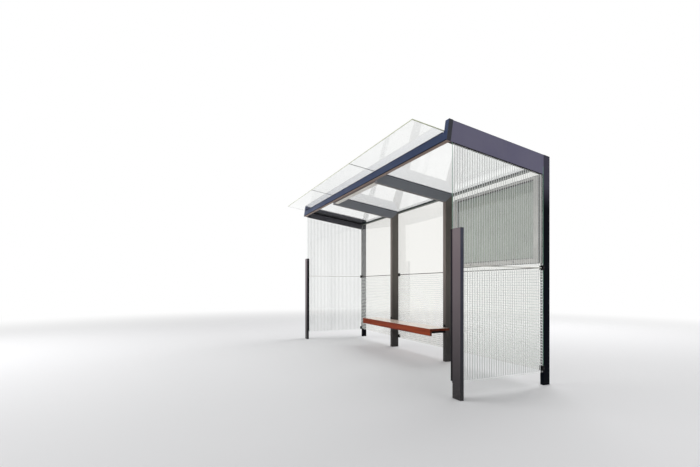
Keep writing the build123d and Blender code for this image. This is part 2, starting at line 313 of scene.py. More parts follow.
class EdgeWear(EffectGroup):
    """A broken line of wear along outer edges."""

    name = "edge_wear"
    inputs = {"Radius": 0.003, "Patch Scale": 9.0}
    outputs = ("Mask",)
    bevel_samples = 4
    turn = (0.01, 0.2)
    breaks = (0.48, 0.7)

    @classmethod
    def wire(cls, graph: Graph, given: Outputs) -> Sockets:
        """Compares the rounded normal with the true one and breaks the line with noise.

        Args:
            graph: the group's tree.
            given: the sockets that bring its inputs.

        Returns:
            The socket that feeds each output.
        """
        rounded = graph.node("Bevel", {"Radius": given["Radius"]}, samples=cls.bevel_samples).outputs[0]
        flat = graph.node("NewGeometry").outputs["Normal"]
        edge = graph.smooth_range(graph.rest(graph.match(rounded, flat)), *cls.turn)
        return {"Mask": graph.product(edge, graph.patches(given["Patch Scale"], cls.breaks))}


class CoatGrain(EffectGroup):
    """The fine pebbled surface of a powder coat, and the slow drift of its tone."""

    name = "coat_grain"
    inputs = {"Pebble Scale": 700.0, "Drift Scale": 2.2}
    outputs = ("Height", "Tone")
    drift = (0.3, 0.7)

    @classmethod
    def wire(cls, graph: Graph, given: Outputs) -> Sockets:
        """Makes the height from small noise and the tone from large noise.

        Args:
            graph: the group's tree.
            given: the sockets that bring its inputs.

        Returns:
            The socket that feeds each output.
        """
        height = graph.noise(graph.place(), given["Pebble Scale"], detail=3.0)
        return {"Height": height, "Tone": graph.patches(given["Drift Scale"], cls.drift, detail=5.0)}


class SettledDust(EffectGroup):
    """Dust that lies on faces that look up, thicker in patches."""

    name = "settled_dust"
    inputs = {"Patch Scale": 14.0}
    outputs = ("Mask",)
    level = (0.55, 0.98)
    cover = (0.2, 0.8)

    @classmethod
    def wire(cls, graph: Graph, given: Outputs) -> Sockets:
        """Takes the upward part of the normal and breaks it with noise.

        Args:
            graph: the group's tree.
            given: the sockets that bring its inputs.

        Returns:
            The socket that feeds each output.
        """
        lying = graph.smooth_range(graph.facing_along(Axis.Z), *cls.level)
        return {"Mask": graph.product(lying, graph.patches(given["Patch Scale"], cls.cover))}


class RainStreaksAndLowShade(EffectGroup):
    """Narrow run marks down upright faces, splashes at the foot, and painted shade that darkens faces towards
    the ground.
    """

    name = "rain_streaks_and_low_shade"
    inputs = {"Width Scale": 55.0, "Soiled Height": -0.3, "Clean Height": 1.75}
    outputs = ("Mask", "Splash", "Grime")
    run_stretch = 0.03
    runs = (0.5, 0.75)
    splash_height = (0.0, 0.22)
    speckle_scale = 60.0
    speckle = (0.35, 0.75)

    @classmethod
    def wire(cls, graph: Graph, given: Outputs) -> Sockets:
        """Draws noise out along Z for the runs, and fades the splashes and the painted low shade up from the
        ground.

        Args:
            graph: the group's tree.
            given: the sockets that bring its inputs.

        Returns:
            The socket that feeds each output.
        """
        runs = graph.noise(graph.drawn_out(Axis.Z, cls.run_stretch), given["Width Scale"], detail=4.0)
        height = graph.part(graph.place(), Axis.Z)
        low = graph.rest(graph.smooth_range(height, *cls.splash_height))
        # Painted shade: Low Shade is 1 below the Dark Height and fades to 0 at the Light Height.
        lit_tone = graph.smooth_range(height, given["Soiled Height"], given["Clean Height"])
        return {
            "Mask": graph.smooth_range(runs, *cls.runs),
            "Splash": graph.product(low, graph.patches(cls.speckle_scale, cls.speckle)),
            "Grime": graph.rest(lit_tone),
        }


class WoodGrain(EffectGroup):
    """Long grain along X: growth bands, dark pores and the fibre's height."""

    name = "wood_grain"
    inputs = {"Band Scale": 26.0, "Pore Scale": 420.0}
    outputs = ("Bands", "Pores", "Height")
    band_stretch = 0.05
    pore_stretch = 0.02
    bands = (0.32, 0.68)
    pores = (0.56, 0.72)
    pore_depth = 0.6

    @classmethod
    def wire(cls, graph: Graph, given: Outputs) -> Sockets:
        """Draws two noises out along X, one slow for the bands and one fine for the pores.

        Args:
            graph: the group's tree.
            given: the sockets that bring its inputs.

        Returns:
            The socket that feeds each output.
        """
        slow = graph.noise(graph.drawn_out(Axis.X, cls.band_stretch), given["Band Scale"], detail=6.0)
        fine = graph.noise(graph.drawn_out(Axis.X, cls.pore_stretch), given["Pore Scale"], detail=3.0)
        pores = graph.smooth_range(fine, *cls.pores)
        height = graph.arithmetic("SUBTRACT", slow, graph.product(pores, cls.pore_depth))
        return {"Bands": graph.smooth_range(slow, *cls.bands), "Pores": pores, "Height": height}


class BrushMarks(EffectGroup):
    """Fine parallel marks along X, as on brushed or extruded metal."""

    name = "brush_marks"
    inputs = {"Mark Scale": 900.0}
    outputs = ("Height", "Tone")
    mark_stretch = 0.01
    cloud_scale = 5.0
    cloud = (0.3, 0.7)

    @classmethod
    def wire(cls, graph: Graph, given: Outputs) -> Sockets:
        """Draws noise out along X for the marks, with a slow cloud for the tone.

        Args:
            graph: the group's tree.
            given: the sockets that bring its inputs.

        Returns:
            The socket that feeds each output.
        """
        marks = graph.noise(graph.drawn_out(Axis.X, cls.mark_stretch), given["Mark Scale"])
        return {"Height": marks, "Tone": graph.patches(cls.cloud_scale, cls.cloud, detail=4.0)}


class PaneEdge(EffectGroup):
    """The ground edges of a glass pane: every face that isn't one of its two large ones."""

    name = "pane_edge"
    inputs = {"Along X": 0.0, "Along Y": 0.0, "Along Z": 0.0}
    outputs = ("Mask",)
    large_face = (0.3, 0.9)

    @classmethod
    def wire(cls, graph: Graph, given: Outputs) -> Sockets:
        """Marks what faces away from the direction that the large faces look along.

        Args:
            graph: the group's tree.
            given: the sockets that bring its inputs.

        Returns:
            The socket that feeds each output.
        """
        parts = {axis.name: given[f"Along {axis.name}"] for axis in Axis}
        large = graph.node("CombineXYZ", parts).outputs[0]
        flat = graph.arithmetic("ABSOLUTE", graph.match(graph.facing(), large))
        return {"Mask": graph.rest(graph.smooth_range(flat, *cls.large_face))}


def toned(colour: Colour, share: float) -> Colour:
    """Returns a colour with its light scaled, at most to white."""
    return tuple(min(1.0, share * part) for part in colour)


@dataclass(frozen=True)
class Finish:
    """What a surface is made of and how it is treated; each kind says how it wires its shader."""

    name: str

    def material(self) -> bpy.types.Material:
        """Makes the finish's material the first time.

        Returns:
            The material.
        """
        found = bpy.data.materials.get(self.name)
        if found:
            return found
        made = bpy.data.materials.new(self.name)
        made.use_nodes = True
        self.wire(Graph(made.node_tree), made.node_tree.nodes["Principled BSDF"])
        return made

    def wire(self, graph: Graph, shader: bpy.types.Node) -> None:
        """Feeds the shader's sockets.

        Args:
            graph: the material's tree.
            shader: its Principled shader.
        """
        raise NotImplementedError


@dataclass(frozen=True)
class PowderCoat(Finish):
    """Fine-textured powder coat on galvanised steel, with painted light and shade: its end faces and
    undersides take colours of their own, as light and reflections fall on them.
    """

    colour: Colour
    # Painted light and shade: end_colour and under_shading stand for the light and reflections on end faces
    # and undersides.
    end_colour: Colour | None = None
    under_shading: Colour | None = None
    roughness: float = 0.42
    gloss: float = 0.4
    dust: float = 0.35
    fade: float = 0.06
    soil: float = 1.0
    # Painted shade: grime mixes in grime_colour towards the ground, fully below the first height of
    # grime_span.
    grime: float = 0.0
    grime_colour: Colour = (0.012, 0.012, 0.014)
    grime_span: Span = (-0.3, 1.75)
    chalk: Colour = (0.5, 0.5, 0.5)
    worn: Colour = (0.33, 0.32, 0.31)
    dirt: Colour = (0.23, 0.21, 0.18)
    run_share: float = 0.10
    splash_share: float = 0.45
    wear_share: float = 0.5
    unevenness: float = 0.10
    pebble_depth: float = 0.0002
    end_turn: Span = (0.35, 0.85)
    under_shading_turn: Span = (0.5, 0.9)

    def wire(self, graph: Graph, shader: bpy.types.Node) -> None:
        """Wires drift of tone, painted shade by facing and towards the ground, run marks, dust, worn edges
        and the pebbled coat.

        Args:
            graph: the material's tree.
            shader: its Principled shader.
        """
        grain = CoatGrain.on(graph)
        dark_height, light_height = self.grime_span
        rain = RainStreaksAndLowShade.on(graph, Soiled_Height=dark_height, Clean_Height=light_height)
        dust = graph.product(SettledDust.on(graph)["Mask"], self.dust)
        lit_tone = self._shading_by_facing(graph)
        faded = graph.mixed(self.fade, lit_tone, self.chalk)
        colour = graph.layered(
            graph.mixed(grain["Tone"], lit_tone, faded),
            (graph.product(rain["Grime"], self.grime), self.grime_colour),
            (graph.product(rain["Mask"], self.run_share * self.soil), self.dirt),
            (graph.product(rain["Splash"], self.splash_share * self.soil), self.dirt),
            (dust, self.dirt),
            (graph.product(EdgeWear.on(graph)["Mask"], self.wear_share), self.worn),
        )
        rough = graph.raised(self.roughness, grain["Tone"], self.unevenness)
        graph.join(shader, {
            "Base Color": colour,
            "Roughness": graph.arithmetic("ADD", rough, dust),
            "Specular IOR Level": self.gloss,
            "Normal": graph.bump(grain["Height"], self.pebble_depth),
        })

    def _shading_by_facing(self, graph: Graph) -> Feed:
        """Mixes in painted light and shade by the way that the face looks: end faces and undersides get their
        own colours.

        Args:
            graph: the material's tree.

        Returns:
            The colour, plain where the coat has only one.
        """
        colour: Feed = self.colour
        if self.end_colour:
            endward = graph.arithmetic("ABSOLUTE", graph.facing_along(Axis.X))
            colour = graph.mixed(graph.smooth_range(endward, *self.end_turn), colour, self.end_colour)
        if self.under_shading:
            downward = graph.product(graph.facing_along(Axis.Z), -1.0)
            under = graph.smooth_range(downward, *self.under_shading_turn)
            colour = graph.mixed(under, colour, self.under_shading)
        return colour


@dataclass(frozen=True)
class Moulding(Finish):
    """Moulded plastic, extruded rubber or sealant with a light bloom."""

    colour: Colour
    roughness: float = 0.55
    bloom: float = 0.3
    gloss: float = 0.5
    bloom_lift: float = 0.05
    pebble_scale: float = 1400.0
    mottle_scale: float = 18.0
    edge_radius: float = 0.0015
    edge_share: float = 0.4
    edge_colour: Colour = (0.16, 0.16, 0.16)
    dust: float = 0.4
    dust_colour: Colour = (0.22, 0.20, 0.17)
    unevenness: float = 0.15
    skin_depth: float = 0.0001

    def wire(self, graph: Graph, shader: bpy.types.Node) -> None:
        """Wires a mottled skin, dust on what faces up and chalked edges.

        Args:
            graph: the material's tree.
            shader: its Principled shader.
        """
        grain = CoatGrain.on(graph, Pebble_Scale=self.pebble_scale, Drift_Scale=self.mottle_scale)
        pale = tuple(part + self.bloom_lift for part in self.colour)
        wear = EdgeWear.on(graph, Radius=self.edge_radius)["Mask"]
        colour = graph.layered(
            self.colour,
            (graph.product(grain["Tone"], self.bloom), pale),
            (graph.product(wear, self.edge_share), self.edge_colour),
            (graph.product(SettledDust.on(graph)["Mask"], self.dust), self.dust_colour),
        )
        graph.join(shader, {
            "Base Color": colour,
            "Roughness": graph.raised(self.roughness, grain["Tone"], self.unevenness),
            "Specular IOR Level": self.gloss,
            "Normal": graph.bump(grain["Height"], self.skin_depth),
        })


@dataclass(frozen=True)
class BareMetal(Finish):
    """Anodised, brushed or zinc-plated metal."""

    colour: Colour
    roughness: float = 0.35
    metallic: float = 1.0
    dull: float = 0.82
    bright: float = 1.3
    edge_radius: float = 0.001
    dust: float = 0.3
    dust_colour: Colour = (0.30, 0.28, 0.25)
    unevenness: float = 0.25
    smoothing: float = 0.1
    mark_depth: float = 0.00005

    def wire(self, graph: Graph, shader: bpy.types.Node) -> None:
        """Wires brush marks, cloudy tone, dust and slightly bright edges.

        Args:
            graph: the material's tree.
            shader: its Principled shader.
        """
        marks = BrushMarks.on(graph)
        colour = graph.layered(
            self.colour,
            (marks["Tone"], toned(self.colour, self.dull)),
            (graph.product(SettledDust.on(graph)["Mask"], self.dust), self.dust_colour),
            (EdgeWear.on(graph, Radius=self.edge_radius)["Mask"], toned(self.colour, self.bright)),
        )
        graph.join(shader, {
            "Base Color": colour,
            "Metallic": self.metallic,
            "Roughness": graph.raised(self.roughness - self.smoothing, marks["Height"], self.unevenness),
            "Normal": graph.bump(marks["Height"], self.mark_depth),
        })


@dataclass(frozen=True)
class Hardwood(Finish):
    """Oiled reddish hardwood, paler where it faces up: weathered, and paler still with painted sunlight on
    its top.
    """

    colour: Colour = (0.290, 0.048, 0.014)
    dark: Colour = (0.140, 0.018, 0.007)
    # Painted light: the near-white top colour is weathered wood made paler still to stand for sun and sky on
    # the top.
    weathered_and_sunlit: Colour = (1.0, 0.85, 0.72)
    pore_colour: Colour = (0.045, 0.012, 0.008)
    pore_share: float = 0.55
    top_turn: Span = (0.5, 0.95)
    patch_stretch: float = 0.35
    patch_scale: float = 9.0
    patch_range: Span = (-0.6, 0.55)
    dryness_and_sun: float = 0.96
    end_turn: Span = (0.6, 0.9)
    end_share: float = 0.6
    end_colour: Colour = (0.06, 0.022, 0.014)
    roughness: float = 0.40
    pore_roughness: float = 0.2
    gloss: float = 0.08
    oil: float = 0.9
    oil_roughness: float = 0.13
    fibre_depth: float = 0.0006

    def wire(self, graph: Graph, shader: bpy.types.Node) -> None:
        """Wires bands, pores, end grain, the weathered top with its painted sunlight, and its dull sheen.

        Args:
            graph: the material's tree.
            shader: its Principled shader.
        """
        grain = WoodGrain.on(graph)
        upward = graph.smooth_range(graph.facing_along(Axis.Z), *self.top_turn)
        endward = graph.arithmetic("ABSOLUTE", graph.facing_along(Axis.X))
        slow = graph.noise(graph.drawn_out(Axis.X, self.patch_stretch), self.patch_scale, detail=6.0)
        patch = graph.smooth_range(slow, *self.patch_range)
        dry_and_sunlit = graph.product(graph.product(upward, patch), self.dryness_and_sun)
        end = graph.product(graph.smooth_range(endward, *self.end_turn), self.end_share)
        colour = graph.layered(
            self.dark,
            (grain["Bands"], self.colour),
            (graph.product(grain["Pores"], self.pore_share), self.pore_colour),
            (dry_and_sunlit, self.weathered_and_sunlit),
            (end, self.end_colour),
        )
        graph.join(shader, {
            "Base Color": colour,
            "Roughness": graph.raised(self.roughness, grain["Pores"], self.pore_roughness),
            "Specular IOR Level": self.gloss,
            "Coat Weight": graph.product(upward, self.oil),
            "Coat Roughness": self.oil_roughness,
            "Normal": graph.bump(grain["Height"], self.fibre_depth),
        })


@dataclass(frozen=True)
class Enamel(Finish):
    """Smooth stoved paint, an opal cover or the matt skin of ground glass."""

    colour: Colour
    roughness: float = 0.35
    shade: float = 0.88
    peel_scale: float = 260.0
    cloud_scale: float = 4.0
    smear_scale: float = 11.0
    smear_range: Span = (0.4, 0.8)
    smear_share: float = 0.15
    peel_depth: float = 0.00008

    def wire(self, graph: Graph, shader: bpy.types.Node) -> None:
        """Wires a faint cloud in the paint, finger marks and a light orange peel.

        Args:
            graph: the material's tree.
            shader: its Principled shader.
        """
        grain = CoatGrain.on(graph, Pebble_Scale=self.peel_scale, Drift_Scale=self.cloud_scale)
        smears = graph.patches(self.smear_scale, self.smear_range)
        graph.join(shader, {
            "Base Color": graph.mixed(grain["Tone"], self.colour, toned(self.colour, self.shade)),
            "Roughness": graph.raised(self.roughness, smears, self.smear_share),
            "Normal": graph.bump(grain["Height"], self.peel_depth),
        })


@dataclass(frozen=True)
class Glass(Finish):
    """Toughened float glass: clear through its large faces, green at its ground edges; where its clarity is
    under 1, a pale veil shows that is partly haze and partly painted reflection of bright sky.
    """

    facing: Vector
    tint: Colour = (0.990, 0.998, 0.994)
    edge: Colour = (0.14, 0.46, 0.34)
    clarity: float = 1.0
    haze_and_reflection: Colour = (0.93, 0.925, 0.895)
    lamp_share: float = 0.9
    refraction: float = 1.5
    edge_roughness: float = 0.25
    film_scale: float = 3.0
    film_range: Span = (0.45, 0.85)
    film_roughness: float = 0.03

    def wire(self, graph: Graph, shader: bpy.types.Node) -> None:
        """Wires the tint, the veil of haze and painted reflection, the edges, a film of dirt and a clear way
        for the lamps.

        Args:
            graph: the material's tree.
            shader: its Principled shader.
        """
        large = {f"Along_{axis.name}": self.facing[axis.value] for axis in Axis}
        edge = PaneEdge.on(graph, **large)["Mask"]
        film = graph.product(graph.patches(self.film_scale, self.film_range), self.film_roughness)
        body = self.tint if self.clarity == 1.0 else self.haze_and_reflection
        graph.join(shader, {
            "Base Color": graph.mixed(edge, body, self.edge),
            "Roughness": graph.raised(film, edge, self.edge_roughness),
            "IOR": self.refraction,
            "Transmission Weight": self.clarity,
        })
        clear = graph.node("BsdfTransparent", {"Color": self.tint}).outputs[0]
        lamps = graph.node("LightPath").outputs["Is Shadow Ray"]
        share = graph.product(lamps, self.lamp_share)
        through = graph.node("MixShader", {0: share, 1: shader.outputs[0], 2: clear}).outputs[0]
        graph.join(graph.tree.nodes["Material Output"], {"Surface": through})


@dataclass(frozen=True)
class PrintedInk(Finish):
    """Pale ceramic ink, fired on glass, with a dull sheen and a faint cloud."""

    colour: Colour = (0.93, 0.96, 0.94)
    shade: float = 0.93
    roughness: float = 0.5
    cloud_scale: float = 9.0
    grain_scale: float = 2500.0
    grain_depth: float = 0.00002

    def wire(self, graph: Graph, shader: bpy.types.Node) -> None:
        """Wires a tone that is a little uneven over the print, and its fine grain.

        Args:
            graph: the material's tree.
            shader: its Principled shader.
        """
        cloud = graph.noise(graph.place(), self.cloud_scale, detail=5.0)
        grain = graph.noise(graph.place(), self.grain_scale)
        graph.join(shader, {
            "Base Color": graph.mixed(cloud, self.colour, toned(self.colour, self.shade)),
            "Roughness": self.roughness,
            "Normal": graph.bump(grain, self.grain_depth),
        })


# Painted light and reflection: the frame has one paint, and each member below gets its own copy of it,
# lighter, darker or tinted as light and reflections fall on it.
BEAM_SIDE_SHADING = (0.066, 0.060, 0.085)
BEAM_UNDER_SHADE = (0.012, 0.011, 0.014)
# Painted light and shade: the end beams' faces along X are paler and bluer on the near beam than on the far
# one, and their undersides are painted near black as in shade.
END_BEAM_PAINT_LIT = PowderCoat("paint_end_beam", BEAM_SIDE_SHADING, (0.105, 0.098, 0.170), BEAM_UNDER_SHADE)
FAR_END_BEAM_PAINT_SHADED = PowderCoat("paint_far_end_beam", BEAM_SIDE_SHADING, (0.075, 0.075, 0.090), BEAM_UNDER_SHADE)
# The far corner post is near black, with painted shade that darkens it to black towards the ground.
CORNER_PAINT_SHADED = PowderCoat(
    "paint_corner_post", (0.003, 0.005, 0.010), (0.005, 0.007, 0.015),
    gloss=0.03, dust=0.05, fade=0.01, soil=0.06, grime=0.9, grime_colour=(0.001, 0.001, 0.002),
)
# Painted light: the near corner post is lighter above 2.15 m, as lit from above, and painted near black below
# 1.85 m, as in shade.
NEAR_CORNER_PAINT_LIT_TOP = PowderCoat(
    "paint_near_corner_post", (0.040, 0.038, 0.052), (0.062, 0.058, 0.084),
    gloss=0.03, dust=0.05, fade=0.01, soil=0.06, grime=1.0,
    grime_colour=(0.001, 0.002, 0.005), grime_span=(1.85, 2.15),
)
# Painted shade: the middle posts darken towards the ground.
POST_PAINT_SHADED = PowderCoat(
    "paint_middle_post", (0.190, 0.158, 0.142), (0.185, 0.168, 0.150), gloss=0.25, soil=0.3, grime=1.0,
)
# Painted light and shade: the rafters are paler and bluer on faces along X and darker underneath.
RAFTER_PAINT_SHADED = PowderCoat("paint_rafter", (0.210, 0.215, 0.230), (0.245, 0.260, 0.290), (0.165, 0.160, 0.160))
# Painted shade: the roof ledge is painted near black, as its underside lies in shade.
LEDGE_SHADE_PAINT = PowderCoat(
    "paint_roof_ledge", (0.008, 0.009, 0.010), (0.010, 0.011, 0.012), gloss=0.15, fade=0.01, soil=0.2,
)
# Painted reflection: the front beam's long faces are blue with reflected sky, its faces along X darker, and
# its underside brown with the reflected ground.
FRONT_BEAM_REFLECTION_PAINT = PowderCoat(
    "paint_front_beam", (0.021, 0.040, 0.108), (0.028, 0.028, 0.058), (0.270, 0.195, 0.165),
    gloss=0.22, fade=0.02, soil=0.3,
)
# Painted light and shade: the front posts are mauve on their long faces, dark navy on faces along X, and
# darker towards the ground.
FRONT_POST_PAINT_SHADED = PowderCoat(
    "paint_front_post", (0.170, 0.132, 0.146), (0.030, 0.032, 0.062), gloss=0.25, soil=0.3, grime=1.0,
)
# Painted shade: the clamp bars are near black on faces along X and darken towards the ground.
BAR_PAINT_SHADED = PowderCoat(
    "paint_clamp_bar", (0.026, 0.023, 0.030), (0.003, 0.004, 0.006),
    gloss=0.04, fade=0.01, soil=0.08, grime=0.8,
)
BRACKET_PAINT = PowderCoat("paint_bench_bracket", (0.006, 0.006, 0.007), gloss=0.08, fade=0.01, soil=0.2)
LAMP_PAINT = PowderCoat("paint_lamp", (0.20, 0.165, 0.155), roughness=0.45)
BLACK_CAP = Moulding("moulded_cap", (0.010, 0.012, 0.022), bloom=0.15)
BLACK_CLAMP = Moulding("moulded_clamp", (0.003, 0.004, 0.005), bloom=0.03, gloss=0.15)
BLACK_RUBBER = Moulding("glazing_rubber", (0.006, 0.006, 0.006), roughness=0.75, bloom=0.06, gloss=0.2)
ROOF_RUBBER = Moulding("roof_gasket_rubber", (0.026, 0.034, 0.066), roughness=0.7, bloom=0.2)
LAMP_CAP = Moulding("lamp_cap", (0.060, 0.050, 0.046), bloom=0.2)
SEAM_SEALANT = Moulding("seam_sealant", (0.030, 0.019, 0.012), roughness=0.6)
WALL_SEALANT = Moulding("wall_sealant", (0.62, 0.62, 0.57), roughness=0.6)
GREY_SEALANT = Moulding("roof_sealant", (0.10, 0.105, 0.105), roughness=0.6)
PALE_WEDGE = Moulding("rail_wedge", (0.27, 0.29, 0.25), roughness=0.6)
DARK_RAIL = BareMetal("rail_coated", (0.040, 0.048, 0.048), roughness=0.45, metallic=0.25)
CASE_ANODISED = BareMetal("case_anodised", (0.86, 0.85, 0.82), roughness=0.5, metallic=0.2)
DOOR_ANODISED = BareMetal("door_anodised", (0.56, 0.545, 0.51), roughness=0.42, metallic=0.6)
LOCK_STEEL = BareMetal("lock_steel", (0.075, 0.080, 0.085), metallic=0.8)
SCREW_STEEL = BareMetal("screw_steel", (0.22, 0.22, 0.23), roughness=0.45, metallic=0.9)
BLACK_SCREW = BareMetal("screw_blackened", (0.020, 0.021, 0.023), roughness=0.5, metallic=0.4)
BOARD_ENAMEL = Enamel("board_enamel", (0.50, 0.56, 0.46))
GROUND_EDGE = Enamel("ground_glass_edge", (0.62, 0.66, 0.48), roughness=0.7)
GREEN_EDGE = Enamel("ground_wall_edge", (0.13, 0.30, 0.22), roughness=0.6)
OPAL_COVER = Enamel("opal_cover", (0.78, 0.75, 0.70), roughness=0.3)
BENCH_WOOD = Hardwood("bench_hardwood")
END_GLASS = Glass("glass_end_wall", Axis.X.vector)
# Painted reflection: the back glass lets 96 % through and shows the rest as a pale veil, partly haze and
# partly painted reflection of bright sky.
BACK_GLASS = Glass("glass_back_wall", Axis.Y.vector, clarity=0.96)
CASE_GLASS = Glass("glass_case_door", Axis.Y.vector)
WALL_INK = PrintedInk("wall_ink")


def put(name: str, data: bpy.types.ID) -> bpy.types.Object:
    """Puts an object into the scene.

    Args:
        name: the object's name.
        data: its mesh, lamp or camera.

    Returns:
        The object.
    """
    made = bpy.data.objects.new(name, data)
    bpy.context.scene.collection.objects.link(made)
    return made


class Shape:
    """The mesh of one piece while it is made, gathered from simple closed forms."""

    FACETS = 2
    ROUND_PROFILE = 0.5

    def __init__(self) -> None:
        """Starts with an empty mesh."""
        self.mesh = bmesh.new()

    def box(self, first: Sequence[float], second: Sequence[float], round_edge: float = 0.0) -> None:
        """Adds a box.

        Args:
            first: one of its corners.
            second: the corner opposite to that one.
            round_edge: the rounding of every edge, or 0 for sharp ones.
        """
        first, second = Vector(first), Vector(second)
        size = [abs(side) for side in second - first]
        place = Matrix.Translation((first + second) / 2) @ Matrix.Diagonal((*size, 1.0))
        made = bmesh.ops.create_cube(self.mesh, size=1.0, matrix=place)
        self._round({edge for vertex in made["verts"] for edge in vertex.link_edges}, round_edge)

    def prism(self, outline: Iterable[Sequence[float]], run: Vector, round_edge: float = 0.0) -> None:
        """Adds a prism: a flat outline carried along a run.

        Args:
            outline: the corners of the outline, in order, in space.
            run: how far and which way the outline is carried.
            round_edge: the rounding of every edge, or 0 for sharp ones.
        """
        start = [self.mesh.verts.new(point) for point in outline]
        end = [self.mesh.verts.new(vertex.co + run) for vertex in start]
        self._skin([start, end])
        self._round({edge for vertex in start + end for edge in vertex.link_edges}, round_edge)

    def rings(self, seat: Vector, axis: Vector, rings: Sequence[Sequence[Span]]) -> None:
        """Adds a form skinned over rings.

        Args:
            seat: the point that heights are measured from.
            axis: the direction of the form's axis.
            rings: the radius and the height of each point of each ring, from the foot to the head.
        """
        turn = axis.normalized().to_track_quat("Z", "Y").to_matrix()
        made = []
        for ring in rings:
            points = []
            for number, (radius, height) in enumerate(ring):
                angle = 2 * math.pi * number / len(ring)
                local = Vector((radius * math.cos(angle), radius * math.sin(angle), height))
                points.append(self.mesh.verts.new(seat + turn @ local))
            made.append(points)
        self._skin(made)

    def _skin(self, rings: Sequence[Sequence[bmesh.types.BMVert]]) -> None:
        """Joins each ring to the next with faces and closes both ends.

        Args:
            rings: the points of each ring, all with as many points.
        """
        for lower, upper in zip(rings, rings[1:]):
            for number, vertex in enumerate(lower):
                after = (number + 1) % len(lower)
                self.mesh.faces.new((vertex, lower[after], upper[after], upper[number]))
        self.mesh.faces.new(tuple(reversed(rings[0])))
        self.mesh.faces.new(tuple(rings[-1]))

    def _round(self, edges: set[bmesh.types.BMEdge], offset: float) -> None:
        """Rounds edges.

        Args:
            edges: the edges of one form.
            offset: the rounding, or 0 for none.
        """
        if offset:
            bmesh.ops.bevel(
                self.mesh, geom=list(edges), offset=offset,
                segments=self.FACETS, profile=self.ROUND_PROFILE, affect="EDGES",
            )

    def piece(
        self, name: str, finish: Finish, slot: Slot, body: Body = Body.SHELTER,
    ) -> bpy.types.Object:
        """Turns the mesh into a piece of the part.

        Args:
            name: the piece's name.
            finish: what it is made of.
            slot: not used; it names the material slot of the record that its finish comes from.
            body: the body that it moves with.

        Returns:
            The new object.
        """
        bmesh.ops.recalc_face_normals(self.mesh, faces=self.mesh.faces[:])
        mesh = bpy.data.meshes.new(name)
        self.mesh.to_mesh(mesh)
        self.mesh.free()
        mesh.shade_smooth()
        mesh.set_sharp_from_angle(angle=SHARP_FROM)
        mesh.materials.append(finish.material())
        made = put(name, mesh)
        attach(made, body.value)
        LOG.info("%s: %d faces", name, len(mesh.polygons))
        return made


@dataclass(frozen=True)
class SocketScrew:
    """A button-head screw with a hexagon socket; the dome's outline is in shares of radius and height."""

    radius: float = 0.007
    height: float = 0.0035
    socket: float = 0.0026
    depth: float = 0.0022
    sides: int = 24
    dome: tuple[Span, ...] = ((1.0, 0.0), (1.0, 0.25), (0.86, 0.72), (0.60, 1.0))

    def add_to(self, shape: Shape, seat: Vector, axis: Vector) -> None:
        """Adds the screw's head to a shape.

        Args:
            shape: the mesh that takes it.
            seat: the middle of the head's underside.
            axis: the way that the head looks.
        """
        dome = [[(wide * self.radius, high * self.height)] * self.sides for wide, high in self.dome]
        hexagon = [self._flat_reach(number) for number in range(self.sides)]
        rim = [(reach, self.height) for reach in hexagon]
        floor = [(reach, self.height - self.depth) for reach in hexagon]
        shape.rings(seat, axis, [*dome, rim, floor])

    def _flat_reach(self, number: int) -> float:
        """Measures the hexagon.

        Args:
            number: one of the ring's points.

        Returns:
            How far the socket reaches from the axis there.
        """
        sixth = math.pi / 3
        off_middle = (2 * math.pi * number / self.sides) % sixth - sixth / 2
        return self.socket / math.cos(off_middle)


def dress(node: str, finish: Finish) -> bpy.types.Object:
    """Gives a node of the frame its finish.

    Args:
        node: the node's name.
        finish: what it is made of.

    Returns:
        The node's object.
    """
    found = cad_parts[node]
    found.data.materials.clear()
    found.data.materials.append(finish.material())
    LOG.info("%s: %s", node, finish.name)
    return found


def ease_edges(piece: bpy.types.Object, radius: float, facets: int = 2) -> None:
    """Rounds a node's sharp edges as rolled, welded and moulded pieces have them.

    Args:
        piece: the node's object.
        radius: the rounding of an edge.
        facets: how many facets the rounding has.
    """
    weld = piece.modifiers.new("join_corners", "WELD")
    weld.merge_threshold = SAME_POINT
    flat = piece.modifiers.new("clear_flat_faces", "DECIMATE")
    flat.decimate_type = "DISSOLVE"
    flat.angle_limit = FLAT_WITHIN
    bevel = piece.modifiers.new("ease_edges", "BEVEL")
    bevel.width = radius
    bevel.segments = facets
    bevel.angle_limit = SHARP_FROM
    bevel.harden_normals = True


def corners_of(node: str) -> list[Vector]:
    """The places of a node's corners."""
    return [vertex.co.copy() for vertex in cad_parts[node].data.vertices]


def head_of(node: str) -> Callable[[float], float]:
    """Reads the sloping head of an end pane.

    Args:
        node: the pane's name.

    Returns:
        The height of its head as a function of Y.
    """
    corners = corners_of(node)
    front = max(corners, key=lambda point: (-round(point.y, PLACE_DIGITS), point.z))
    back = max(corners, key=lambda point: (round(point.y, PLACE_DIGITS), point.z))
    fall = (back.z - front.z) / (back.y - front.y)
    return lambda y: front.z + fall * (y - front.y)


def end_strip(face: float, across: Span, heights: Callable[[float], Span]) -> list[Place]:
    """Draws a strip on the face of an end pane.

    Args:
        face: the X of the face.
        across: the strip's two places along Y.
        heights: gives the strip's foot and head at a Y.

    Returns:
        Its four corners, in order.
    """
    feet = [(face, y, heights(y)[0]) for y in across]
    heads = [(face, y, heights(y)[1]) for y in across]
    return feet + heads[::-1]


def clear_spans(far_end: float, far: Box, near: Box, near_end: float) -> dict[Bay, Span]:
    """Finds what is clear in each bay of the back wall.

    Args:
        far_end: the X where the far bay ends.
        far: the box of what stands between the far and the middle bay.
        near: the box of what stands between the middle and the near bay.
        near_end: the X where the near bay ends.

    Returns:
        The two ends along X for each bay.
    """
    return {
        Bay.NEAR: (near[1].x, near_end),
        Bay.MIDDLE: (far[1].x, near[0].x),
        Bay.FAR: (far_end, far[0].x),
    }


